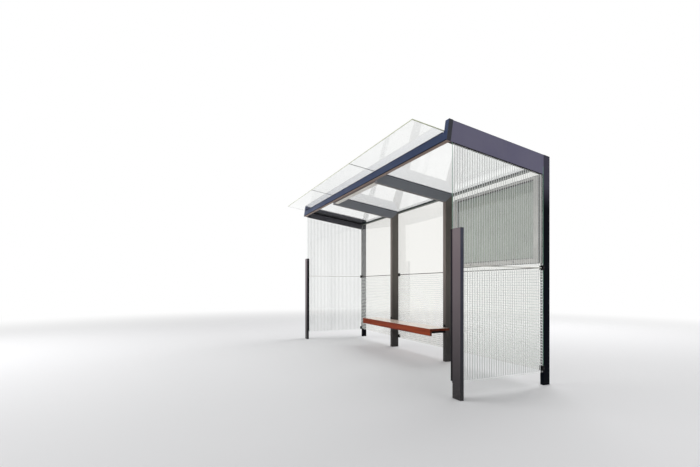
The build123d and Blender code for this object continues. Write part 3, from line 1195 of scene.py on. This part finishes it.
@dataclass
class Slope:
    """The plane of the roof, read from a roof pane."""

    pane: str = "near_roof_pane"

    def __post_init__(self) -> None:
        """Finds the low back edge of the pane's underside and the ways up the slope and off it."""
        corners = corners_of(self.pane)
        back = min(corners, key=lambda point: point.z)
        front = min(corners, key=lambda point: point.y)
        self.origin = Vector((0.0, back.y, back.z))
        reach = Vector((0.0, front.y - back.y, front.z - back.z))
        self.length = reach.length
        self.up = reach.normalized()
        self.out = Vector((0.0, self.up.z, -self.up.y))
        self.glass = max((corner - back).dot(self.out) for corner in corners)

    def at(self, x: float, reach: float, rise: float) -> Vector:
        """The point at X, a reach up the slope from the panes' back edge and a rise off their undersides."""
        return Vector((x, 0.0, 0.0)) + self.origin + self.up * reach + self.out * rise

    def span(self, node: str) -> tuple[Span, Span]:
        """Measures a node on the slope.

        Args:
            node: the node's name.

        Returns:
            Its two reaches up the slope, and its lowest and highest rise off the panes' undersides.
        """
        offsets = [corner - self.origin for corner in corners_of(node)]
        reaches = [offset.dot(self.up) for offset in offsets]
        rises = [offset.dot(self.out) for offset in offsets]
        return (min(reaches), max(reaches)), (min(rises), max(rises))

    def strip(self, shape: Shape, across: Span, along: Span, rise: Span, round_edge: float = 0.0) -> None:
        """Adds a strip that lies on the slope.

        Args:
            shape: the mesh that takes it.
            across: its two places along X.
            along: its two reaches up the slope.
            rise: its lowest and highest rise off the panes' undersides.
            round_edge: the rounding of its edges.
        """
        left, right = sorted(across)
        turns = ((0, 0), (1, 0), (1, 1), (0, 1))
        outline = [self.at(left, along[end], rise[side]) for end, side in turns]
        shape.prism(outline, Vector((right - left, 0.0, 0.0)), round_edge)


@dataclass(frozen=True)
class SoftLamp:
    """A square soft lamp that looks at the middle of the shelter and isn't seen itself."""

    name: str
    place: Place
    size: float
    power: float
    aim: Place = (0.0, 0.0, 1.2)

    def build(self) -> None:
        """Makes the lamp."""
        light = bpy.data.lights.new(self.name, "AREA")
        light.size = self.size
        light.energy = self.power
        lamp = put(self.name, light)
        lamp.location = self.place
        lamp.visible_camera = False
        lamp.visible_glossy = False
        lamp.visible_transmission = False
        towards = Vector(self.aim) - Vector(self.place)
        lamp.rotation_euler = towards.to_track_quat("-Z", "Y").to_euler()


@dataclass
class Studio:
    """Plain floor, soft lamps and the camera of the photograph's view."""

    camera_place: Place = (5.2996, -2.8180, 1.051)
    camera_heading: float = 66.3748
    lens: float = 20.571
    sensor: float = 36.0
    horizon_shift: float = 0.0745
    clipping: Span = (0.05, 200.0)
    lamps: tuple[SoftLamp, ...] = (
        SoftLamp("key_lamp", (-2.5, 6.5, 7.0), 6.0, 460.0),
        SoftLamp("platform_lamp", (-2.0, -7.5, 4.5), 6.0, 300.0),
        SoftLamp("end_lamp", (8.5, 1.5, 4.0), 4.0, 60.0),
    )
    sky_on_object: float = 0.55
    floor_radius: float = 60.0
    floor_sides: int = 96
    floor_drop: float = 0.0005
    floor_colour: Colour = (0.80, 0.80, 0.81)
    floor_roughness: float = 0.9
    floor_gloss: float = 0.1
    white_from: float = 4.5
    white_to: float = 13.0

    def build(self) -> None:
        """Makes the camera, the world, the lamps and the floor."""
        self._camera()
        self._world()
        for lamp in self.lamps:
            lamp.build()
        self._floor()
        bpy.context.scene.view_settings.view_transform = "Standard"

    def _camera(self) -> None:
        """Makes the camera at the photograph's place, level and with its lens shifted up."""
        lens = bpy.data.cameras.new("photograph_view")
        lens.sensor_width = self.sensor
        lens.lens = self.lens
        lens.shift_y = self.horizon_shift
        lens.clip_start, lens.clip_end = self.clipping
        view = put("photograph_view", lens)
        view.location = self.camera_place
        view.rotation_euler = (math.radians(90), 0.0, math.radians(self.camera_heading))
        bpy.context.scene.camera = view

    def _world(self) -> None:
        """Makes a white surround that lights the object at a lower strength than it shows."""
        world = bpy.data.worlds.new("white_surround")
        world.use_nodes = True
        bpy.context.scene.world = world
        graph = Graph(world.node_tree)
        strengths = {"Value": self._seen_share(graph), "To Min": self.sky_on_object, "To Max": 1.0}
        strength = graph.node("MapRange", strengths).outputs[0]
        graph.join(world.node_tree.nodes["Background"], {"Color": WHITE, "Strength": strength})

    @staticmethod
    def _seen_share(graph: Graph) -> Socket:
        """Tells what is seen straight, in gloss or through glass from light on a surface.

        Args:
            graph: the tree of the world or the floor.

        Returns:
            1 for what is seen and 0 for light on a surface.
        """
        path = graph.node("LightPath").outputs
        straight = graph.arithmetic("MAXIMUM", path["Is Camera Ray"], path["Is Glossy Ray"])
        seen = graph.arithmetic("MAXIMUM", straight, path["Is Transmission Ray"])
        scattered = graph.arithmetic("MINIMUM", path["Diffuse Depth"], 1.0)
        return graph.product(seen, graph.rest(scattered))

    def _floor(self) -> None:
        """Makes a round pale floor that keeps the shadow and turns white far out."""
        shape = bmesh.new()
        bmesh.ops.create_circle(shape, cap_ends=True, segments=self.floor_sides, radius=self.floor_radius)
        mesh = bpy.data.meshes.new("studio_floor")
        shape.to_mesh(mesh)
        shape.free()
        mesh.materials.append(self._floor_material())
        floor = put("studio_floor", mesh)
        floor.location.z = -self.floor_drop

    def _floor_material(self) -> bpy.types.Material:
        """Wires the floor's paint, which gives way to white between two distances from the middle.

        Returns:
            The material.
        """
        material = bpy.data.materials.new("studio_floor")
        material.use_nodes = True
        graph, nodes = Graph(material.node_tree), material.node_tree.nodes
        shader = nodes["Principled BSDF"]
        graph.join(shader, {
            "Base Color": self.floor_colour,
            "Roughness": self.floor_roughness,
            "Specular IOR Level": self.floor_gloss,
        })
        from_middle = graph.node("VectorMath", {0: graph.place()}, operation="LENGTH").outputs["Value"]
        far = graph.smooth_range(from_middle, self.white_from, self.white_to)
        share = graph.product(far, self._seen_share(graph))
        white = graph.node("Emission", {"Color": WHITE}).outputs[0]
        surface = graph.node("MixShader", {0: share, 1: shader.outputs[0], 2: white}).outputs[0]
        graph.join(nodes["Material Output"], {"Surface": surface})
        return material


@dataclass
class SteelFrame:
    """Posts, beams and rafters of welded hollow sections, with post caps and a strip of painted shade along
    the front beam.
    """

    slope: Slope
    bar_edge: float = 0.0015
    cap_rise: float = 0.002
    cap_inset: float = 0.001
    cap_edge: float = 0.0007
    # Painted shade: a black strip along the foot of the front beam's face stands for the shadow in a groove
    # there.
    shade_groove: Span = (0.001, 0.012)
    shade_groove_depth: Span = (-0.001, 0.0008)
    shade_groove_reach: float = 2.244
    groove_edge: float = 0.0003

    def build(self) -> None:
        """Dresses every steel member of both halves."""
        finishes = {
            "middle_post": POST_PAINT_SHADED,
            "rafter": RAFTER_PAINT_SHADED,
            "beam_corner": FRONT_BEAM_REFLECTION_PAINT,
            "front_post": FRONT_POST_PAINT_SHADED,
            "clamp_bar": BAR_PAINT_SHADED,
            "roof_ledge": LEDGE_SHADE_PAINT,
            "beam_cap": BLACK_CAP,
        }
        for hand in Hand:
            for piece, finish in finishes.items():
                dress(hand.node(piece), finish)
            ease_edges(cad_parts[hand.node("clamp_bar")], self.bar_edge, facets=3)
            self._post_cap(hand)
        dress("near_corner_post", NEAR_CORNER_PAINT_LIT_TOP)
        dress("far_corner_post", CORNER_PAINT_SHADED)
        dress("near_end_beam", END_BEAM_PAINT_LIT)
        dress("far_end_beam", FAR_END_BEAM_PAINT_SHADED)
        dress("front_beam", FRONT_BEAM_REFLECTION_PAINT)
        self._front_groove_shade()

    def _post_cap(self, hand: Hand) -> None:
        """Closes the head of a front post with a thin moulded cap.

        Args:
            hand: the half that it is on.
        """
        low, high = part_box(hand.node("front_post"))
        inset = Vector((self.cap_inset, self.cap_inset, 0.0))
        shape = Shape()
        top = high - inset + Axis.Z.vector * self.cap_rise
        shape.box(Vector((low.x, low.y, high.z)) + inset, top, self.cap_edge)
        shape.piece(hand.node("front_post_cap"), BLACK_CAP, Slot.CAP)

    def _front_groove_shade(self) -> None:
        """Lays a black strip along the lower edge of the front beam's face: painted shade of a shadowed
        groove there.
        """
        (_, face), (foot, _) = self.slope.span("front_beam")
        along = tuple(face + depth for depth in self.shade_groove_depth)
        rise = tuple(foot + height for height in self.shade_groove)
        shape = Shape()
        self.slope.strip(shape, (-self.shade_groove_reach, self.shade_groove_reach), along, rise, self.groove_edge)
        shape.piece("front_beam_groove_shade", BLACK_RUBBER, Slot.FRAME_PAINT)


@dataclass
class ClampBars:
    """Screws and rubbers of the bars that hold the end glass to the front posts."""

    rows: int = 5
    first: float = 0.248
    last: float = 1.547
    rubber: float = 0.0025
    rubber_lip: float = 0.0015
    rubber_inset: float = 0.001
    rubber_edge: float = 0.0004
    screw: SocketScrew = SocketScrew()

    def build(self) -> None:
        """Sets a row of socket screws in the inner face of each bar, and its rubbers."""
        for hand in Hand:
            low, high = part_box(hand.node("clamp_bar"))
            inward = Vector((-hand.value, 0.0, 0.0))
            shape = Shape()
            for number in range(self.rows):
                height = self.first + (self.last - self.first) * number / (self.rows - 1)
                seat = Vector((hand.inner((low, high)), (low.y + high.y) / 2, height))
                self.screw.add_to(shape, seat, inward)
            shape.piece(hand.node("bar_screws"), SCREW_STEEL, Slot.FRAME_PAINT)
            self._rubbers(hand)

    def _rubbers(self, hand: Hand) -> None:
        """Adds the rubber lips that show at the back edge of the bar and of the front post.

        Args:
            hand: the half that they are on.
        """
        bar_low, bar_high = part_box(hand.node("clamp_bar"))
        pane_low, pane_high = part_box(hand.node("end_lower_pane"))
        shape = Shape()
        for face, outward in ((pane_low.x, -1), (pane_high.x, 1)):
            shape.box(
                (face, bar_high.y, bar_low.z + self.rubber_inset),
                (face + outward * self.rubber, bar_high.y + self.rubber_lip, bar_high.z - self.rubber_inset),
                self.rubber_edge,
            )
        shape.piece(hand.node("bar_rubbers"), BLACK_RUBBER, Slot.GASKET)


@dataclass
class PrintedWalls:
    """Glass of the end and back walls, with its ground edges and the fine lines printed on it."""

    pitch: float = 0.030
    width: float = 0.0082
    thickness: float = 0.0002
    off_glass: float = 0.00005
    bare_border: float = 0.012
    edge_skin: float = 0.00015
    edge_arris: float = 0.0008
    edge_end: float = 0.001
    over_post: float = 0.003

    def build(self) -> None:
        """Dresses the panes and prints upright lines on the ends and level ones on the back."""
        for hand in Hand:
            self._ground_edges(hand)
            for piece in ("end_upper_pane", "end_lower_pane"):
                dress(hand.node(piece), END_GLASS)
                self._upright_lines(hand, hand.node(piece))
        for bay in Bay:
            dress(bay.node("upper_pane"), BACK_GLASS)
            dress(bay.node("lower_pane"), BACK_GLASS)
            self._level_lines(bay.node("lower_pane"))

    def _ground_edges(self, hand: Hand) -> None:
        """Lays the matt skin of the edges that stand free: at the back corner, and over the front post.

        Args:
            hand: the half that they are on.
        """
        shape = Shape()
        skin, arris, end = self.edge_skin, self.edge_arris, self.edge_end
        for piece in ("end_upper_pane", "end_lower_pane"):
            node = hand.node(piece)
            low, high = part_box(node)
            top = min(high.z, head_of(node)(high.y)) - end
            shape.box((low.x + arris, high.y, low.z + end), (high.x - arris, high.y + skin, top))
        node = hand.node("end_upper_pane")
        low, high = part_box(node)
        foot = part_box(hand.node("front_post"))[1].z + self.over_post
        top = min(high.z, head_of(node)(low.y)) - end
        shape.box((low.x + arris, low.y - skin, foot), (high.x - arris, low.y, top))
        for piece in ("upper_pane", "lower_pane"):
            low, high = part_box(hand.node(piece))
            outer = hand.outer((low, high))
            shape.box(
                (outer, low.y + arris, low.z + end),
                (outer + hand.value * skin, high.y - arris, high.z - end),
            )
        shape.piece(hand.node("wall_ground_edges"), GREEN_EDGE, Slot.WALL_GLASS)

    def _lines(self, low: float, high: float) -> list[Span]:
        """Spaces the lines that fit between a pane's bare borders, centred.

        Args:
            low: where the pane starts.
            high: where it ends.

        Returns:
            The two sides of each line.
        """
        start, end = low + self.bare_border, high - self.bare_border
        count = int((end - start - self.width) / self.pitch) + 1
        first = (start + end - (count - 1) * self.pitch) / 2
        middles = [first + number * self.pitch for number in range(count)]
        return [(middle - self.width / 2, middle + self.width / 2) for middle in middles]

    def _upright_lines(self, hand: Hand, node: str) -> None:
        """Prints upright lines on the inner face of an end pane, up to its sloping head.

        Args:
            hand: the half that it is on.
            node: the pane's name.
        """
        low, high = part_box(node)
        face = hand.inner((low, high)) - hand.value * self.off_glass
        run = Vector((-hand.value * self.thickness, 0.0, 0.0))
        foot, head = low.z + self.bare_border, head_of(node)
        shape = Shape()
        for sides in self._lines(low.y, high.y):
            shape.prism(end_strip(face, sides, lambda y: (foot, head(y) - self.bare_border)), run)
        shape.piece(node + "_print", WALL_INK, Slot.WALL_GLASS)

    def _level_lines(self, node: str) -> None:
        """Prints level lines on the inner face of a back pane.

        Args:
            node: the pane's name.
        """
        low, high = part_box(node)
        face = low.y - self.off_glass
        left, right = low.x + self.bare_border, high.x - self.bare_border
        shape = Shape()
        for foot, head in self._lines(low.z, high.z):
            shape.box((left, face - self.thickness, foot), (right, face, head))
        shape.piece(node + "_print", WALL_INK, Slot.WALL_GLASS)


@dataclass
class WallSeals:
    """Sealant in the joints half-way up the walls, and rubber under the end beams."""

    play: float = 0.0002
    sink: float = 0.0005
    post_gap: float = 0.002
    lip: float = 0.0016
    bead: float = 0.005
    bead_edge: float = 0.0003

    def build(self) -> None:
        """Fills the joints of the back and the ends and lines the heads of the end panes."""
        self._back_joints()
        for hand in Hand:
            self._end_joint(hand)
            self._head_beads(hand)

    def _back_joints(self) -> None:
        """Fills the level joint of each back bay, from clamp to clamp."""
        spans = clear_spans(
            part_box("far_corner_clamps")[1].x,
            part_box("far_middle_clamps"),
            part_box("near_middle_clamps"),
            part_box("near_corner_clamps")[0].x,
        )
        for bay, (left, right) in spans.items():
            lower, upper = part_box(bay.node("lower_pane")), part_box(bay.node("upper_pane"))
            shape = Shape()
            shape.box(
                (left + self.play, lower[0].y + self.sink, lower[1].z + self.play),
                (right - self.play, lower[1].y - self.sink, upper[0].z - self.play),
            )
            shape.piece(bay.node("wall_joint"), SEAM_SEALANT, Slot.GASKET)

    def _end_joint(self, hand: Hand) -> None:
        """Fills the level joint of an end wall, from the front post to the corner clamp.

        Args:
            hand: the half that it is on.
        """
        lower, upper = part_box(hand.node("end_lower_pane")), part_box(hand.node("end_upper_pane"))
        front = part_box(hand.node("front_post"))[1].y + self.post_gap
        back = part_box(hand.node("corner_clamps"))[0].y - self.play
        shape = Shape()
        shape.box(
            (lower[0].x + self.sink, front, lower[1].z + self.play),
            (lower[1].x - self.sink, back, upper[0].z - self.play),
        )
        shape.piece(hand.node("end_joint"), WALL_SEALANT, Slot.GASKET)

    def _head_beads(self, hand: Hand) -> None:
        """Lines both faces of an end pane's head, under the sloping beam.

        Args:
            hand: the half that it is on.
        """
        node = hand.node("end_upper_pane")
        low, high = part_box(node)
        head = head_of(node)
        shape = Shape()
        for face, outward in ((low.x, -1), (high.x, 1)):
            outline = end_strip(face, (low.y, high.y), lambda y: (head(y) - self.bead, head(y)))
            shape.prism(outline, Vector((outward * self.lip, 0.0, 0.0)), self.bead_edge)
        shape.piece(hand.node("head_rubber"), BLACK_RUBBER, Slot.GASKET)


@dataclass
class GlassRoof:
    """Three panes of laminated glass with ground edges and sealed joints between them."""

    slope: Slope
    seal_sink: float = 0.002
    seal_end: float = 0.002
    play: float = 0.0005
    skin: float = 0.00015
    arris: float = 0.0015
    edge_colour: Colour = (0.80, 0.84, 0.66)

    def build(self) -> None:
        """Dresses the panes and fills the joints between them with sealant."""
        roof_glass = Glass("glass_roof", self.slope.out, edge=self.edge_colour)
        for bay in Bay:
            dress(bay.node("roof_pane"), roof_glass)
        dress("roof_gasket", ROOF_RUBBER)
        joint = (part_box("middle_roof_pane")[1].x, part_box("near_roof_pane")[0].x)
        along = (self.seal_end, self.slope.length - self.seal_end)
        rise = (self.play, self.slope.glass - self.seal_sink)
        shape = Shape()
        for hand in Hand:
            self.slope.strip(shape, tuple(hand.value * side for side in joint), along, rise)
        shape.piece("roof_joint_seals", GREY_SEALANT, Slot.GASKET)
        self._ground_edges()

    def _ground_edges(self) -> None:
        """Lays the matt band of the ground edges along the front, the back and both ends of the panes."""
        rise = (self.arris, self.slope.glass - self.play)
        shape = Shape()
        for bay in Bay:
            low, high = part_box(bay.node("roof_pane"))
            for along in ((-self.skin, 0.0), (self.slope.length, self.slope.length + self.skin)):
                self.slope.strip(shape, (low.x + self.play, high.x - self.play), along, rise)
        for hand in Hand:
            end = hand.outer(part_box(hand.node("roof_pane")))
            along = (self.play, self.slope.length - self.play)
            self.slope.strip(shape, (end, end + hand.value * self.skin), along, rise)
        shape.piece("roof_ground_edges", GROUND_EDGE, Slot.ROOF_GLASS)


@dataclass
class GlassClamps:
    """Black clamps that hold the wall glass, each with its screws."""

    screw: SocketScrew = SocketScrew(radius=0.008, height=0.004, socket=0.003)
    half_height: float = 0.025
    off_middle: float = 0.028
    edge: float = 0.002

    def build(self) -> None:
        """Dresses the clamps and sets their screws."""
        for hand in Hand:
            for piece in ("corner_clamps", "middle_clamps"):
                ease_edges(dress(hand.node(piece), BLACK_CLAMP), self.edge)
            self._screws(hand)

    def _screws(self, hand: Hand) -> None:
        """Sets a screw in the outer end of each corner clamp and two in the back of each middle one.

        Args:
            hand: the half that they are on.
        """
        shape = Shape()
        low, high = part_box(hand.node("corner_clamps"))
        rows = (low.z + self.half_height, high.z - self.half_height)
        for height in rows:
            seat = Vector((hand.outer((low, high)), (low.y + high.y) / 2, height))
            self.screw.add_to(shape, seat, Axis.X.vector * hand.value)
        low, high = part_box(hand.node("middle_clamps"))
        for height in rows:
            for side in (-self.off_middle, self.off_middle):
                seat = Vector(((low.x + high.x) / 2 + side, high.y, height))
                self.screw.add_to(shape, seat, Axis.Y.vector)
        shape.piece(hand.node("clamp_screws"), BLACK_SCREW, Slot.LOCK_STEEL)


@dataclass
class BackRails:
    """Slotted rails over the back panes, with the wedge that shows along their lower front edge."""

    wedge: Span = (0.001, 0.011)
    proud: float = 0.0006
    play: float = 0.0005
    edge: float = 0.0002

    def build(self) -> None:
        """Dresses the three rails and adds the wedge between the posts of each bay."""
        spans = clear_spans(
            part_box("far_back_rail")[0].x,
            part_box("far_middle_post"),
            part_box("near_middle_post"),
            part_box("near_back_rail")[1].x,
        )
        for bay, (left, right) in spans.items():
            node = bay.node("back_rail")
            dress(node, DARK_RAIL)
            low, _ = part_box(node)
            foot, head = (low.z + height for height in self.wedge)
            front = low.y - self.proud
            shape = Shape()
            shape.box((left + self.play, front, foot), (right - self.play, low.y, head), self.edge)
            shape.piece(node + "_wedge", PALE_WEDGE, Slot.RAIL)


@dataclass
class Bench:
    """Timber seat on two steel brackets."""

    screw: SocketScrew = SocketScrew(radius=0.006, height=0.002, socket=0.0022, depth=0.0015)
    planks: tuple[str, ...] = ("front_plank", "middle_plank", "rear_plank")
    bracket_edge: float = 0.002

    def build(self) -> None:
        """Dresses the timber and the brackets."""
        for node in ("bench_apron", *self.planks):
            dress(node, BENCH_WOOD)
        for hand in Hand:
            ease_edges(dress(hand.node("bench_bracket"), BRACKET_PAINT), self.bracket_edge)
            self._screws(hand)

    def _screws(self, hand: Hand) -> None:
        """Sets a screw under the bracket for each plank.

        Args:
            hand: the half that they are on.
        """
        low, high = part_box(hand.node("bench_bracket"))
        shape = Shape()
        for plank in self.planks:
            front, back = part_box(plank)
            seat = Vector(((low.x + high.x) / 2, (front.y + back.y) / 2, low.z))
            self.screw.add_to(shape, seat, -Axis.Z.vector)
        shape.piece(hand.node("bench_screws"), SCREW_STEEL, Slot.LOCK_STEEL)


@dataclass
class InformationCase:
    """Shallow case with a flap door of pale anodised metal, sealed round its glass and its rim."""

    stile: float = 0.068
    head_rail: float = 0.022
    foot_rail: float = 0.052
    head_seal: float = 0.015
    seal: float = 0.005
    side_seal: float = 0.002
    seal_depth: float = 0.003
    seal_edge: float = 0.0005
    rim_play: float = 0.0006
    rim_proud: float = 0.001
    rim_head: float = 0.012
    foot_step: float = 0.003
    edge_profile: float = 0.0006
    profile_sides: float = 0.001
    profile_ends: float = 0.002
    keyway: Span = (0.0011, 0.0034)
    keyway_depth: Span = (-0.0001, 0.0008)
    metal_edge: float = 0.0015
    lock_edge: float = 0.001

    def build(self) -> None:
        """Dresses the case and its door and adds the seals, the door's edges and the keyways."""
        ease_edges(dress("case_body", CASE_ANODISED), self.metal_edge)
        dress("case_board", BOARD_ENAMEL)
        dress("case_hinge_pin", LOCK_STEEL)
        ease_edges(dress("case_door_frame", DOOR_ANODISED), self.metal_edge)
        dress("case_door_pane", CASE_GLASS)
        ease_edges(dress("case_locks", LOCK_STEEL), self.lock_edge)
        self._glass_seal()
        self._rim_seal()
        self._door_edges()
        self._keyways()

    def _glass_seal(self) -> None:
        """Frames the door's glass with a black seal, broader under the head rail."""
        low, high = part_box("case_door_frame")
        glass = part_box("case_door_pane")[0].y
        left, right = low.x + self.stile, high.x - self.stile
        foot, head = low.z + self.foot_rail, high.z - self.head_rail
        over_foot, under_head = foot + self.seal, head - self.head_seal
        front = glass - self.seal_depth
        shape = Shape()
        shape.box((left, front, under_head), (right, glass, head), self.seal_edge)
        shape.box((left, front, foot), (right, glass, over_foot), self.seal_edge)
        for edge in (left, right - self.side_seal):
            shape.box((edge, front, over_foot), (edge + self.side_seal, glass, under_head), self.seal_edge)
        shape.piece("case_glass_seal", BLACK_RUBBER, Slot.GASKET, Body.CASE_DOOR)

    def _rim_seal(self) -> None:
        """Lines the case's rim beside and under the door."""
        body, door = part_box("case_body"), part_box("case_door_frame")
        front, back = door[0].y - self.rim_proud, body[0].y
        shape = Shape()
        for side, outward in enumerate((-1, 1)):
            inner = door[side].x + outward * (self.rim_play + self.edge_profile)
            outer = body[side].x - outward * self.rim_play
            shape.box((inner, front, door[0].z), (outer, back, door[1].z - self.rim_head), self.seal_edge)
        shape.box(
            (door[0].x, front + self.foot_step, body[0].z + self.rim_play),
            (door[1].x, back, door[0].z - self.rim_play),
            self.seal_edge,
        )
        shape.piece("case_rim_seal", BLACK_RUBBER, Slot.GASKET)

    def _door_edges(self) -> None:
        """Lays a dark profile down both side edges of the door."""
        low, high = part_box("case_door_frame")
        shape = Shape()
        for edge, outward in ((low.x, -1), (high.x, 1)):
            shape.box(
                (edge, low.y + self.profile_sides, low.z + self.profile_ends),
                (edge + outward * self.edge_profile, high.y - self.profile_sides, high.z - self.profile_ends),
            )
        shape.piece("case_door_edge", BLACK_RUBBER, Slot.GASKET, Body.CASE_DOOR)

    def _keyways(self) -> None:
        """Cuts the look of a keyway into the face of each lock."""
        low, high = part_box("case_locks")
        radius = (high.z - low.z) / 2
        middle = (low.z + high.z) / 2
        front, back = (low.y + depth for depth in self.keyway_depth)
        shape = Shape()
        for centre in (low.x + radius, high.x - radius):
            shape.box(
                (centre - self.keyway[0], front, middle - self.keyway[1]),
                (centre + self.keyway[0], back, middle + self.keyway[1]),
            )
        shape.piece("case_lock_keyways", BLACK_RUBBER, Slot.LOCK_STEEL, Body.CASE_DOOR)


@dataclass
class Lamp:
    """Linear lamp behind the front beam, with its end caps and a strip of painted shade over its cover."""

    slope: Slope
    housing_edge: float = 0.002
    cover_edge: float = 0.003
    cap: float = 0.0022
    cap_inset: float = 0.0015
    cap_edge: float = 0.0008
    shade_groove: Span = (0.004, 0.0085)
    groove_end: float = 0.002
    shade_groove_proud: float = 0.0004
    screw: SocketScrew = SocketScrew(radius=0.0035, height=0.0018, socket=0.0014, depth=0.001)
    screw_inset: float = 0.014

    def build(self) -> None:
        """Dresses the housing and its cover, caps both ends and lays a black strip of painted shade over the
        cover.
        """
        ease_edges(dress("lamp_housing", LAMP_PAINT), self.housing_edge)
        ease_edges(dress("lamp_diffuser", OPAL_COVER), self.cover_edge, facets=3)
        along, rise = self.slope.span("lamp_housing")
        low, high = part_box("lamp_housing")
        self._end_caps(along, rise, (low.x, high.x))
        # Painted shade: a black strip over the cover stands for the shadow in the groove between housing and
        # cover.
        shape = Shape()
        self.slope.strip(
            shape,
            (low.x + self.groove_end, high.x - self.groove_end),
            (along[0] - self.shade_groove_proud, along[1] + self.shade_groove_proud),
            (rise[0] + self.shade_groove[0], rise[0] + self.shade_groove[1]),
        )
        shape.piece("lamp_groove_shade", BLACK_RUBBER, Slot.LAMP_METAL)

    def _end_caps(self, along: Span, rise: Span, ends: Span) -> None:
        """Closes both ends with moulded caps, each held by two small screws.

        Args:
            along: the housing's two reaches up the slope.
            rise: its lowest and highest rise.
            ends: its two ends along X.
        """
        caps, screws = Shape(), Shape()
        cap_along = (along[0] + self.cap_inset, along[1] - self.cap_inset)
        cap_rise = (rise[0] + self.cap_inset, rise[1] - self.cap_inset)
        for end, side in zip(ends, (-1, 1)):
            face = end + side * self.cap
            self.slope.strip(caps, (end, face), cap_along, cap_rise, self.cap_edge)
            for reach in (along[0] + self.screw_inset, along[1] - self.screw_inset):
                seat = self.slope.at(face, reach, (rise[0] + rise[1]) / 2)
                self.screw.add_to(screws, seat, Axis.X.vector * side)
        caps.piece("lamp_end_caps", LAMP_CAP, Slot.LAMP_METAL)
        screws.piece("lamp_cap_screws", SCREW_STEEL, Slot.LAMP_METAL)


def main() -> None:
    logging.basicConfig(level=logging.INFO, format="%(message)s")
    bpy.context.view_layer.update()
    Studio().build()
    slope = Slope()
    for assembly in (
        SteelFrame(slope),
        ClampBars(),
        PrintedWalls(),
        WallSeals(),
        GlassRoof(slope),
        GlassClamps(),
        BackRails(),
        Bench(),
        InformationCase(),
        Lamp(slope),
    ):
        LOG.info("building %s", type(assembly).__name__)
        assembly.build()


if __name__ == "__main__":
    main()
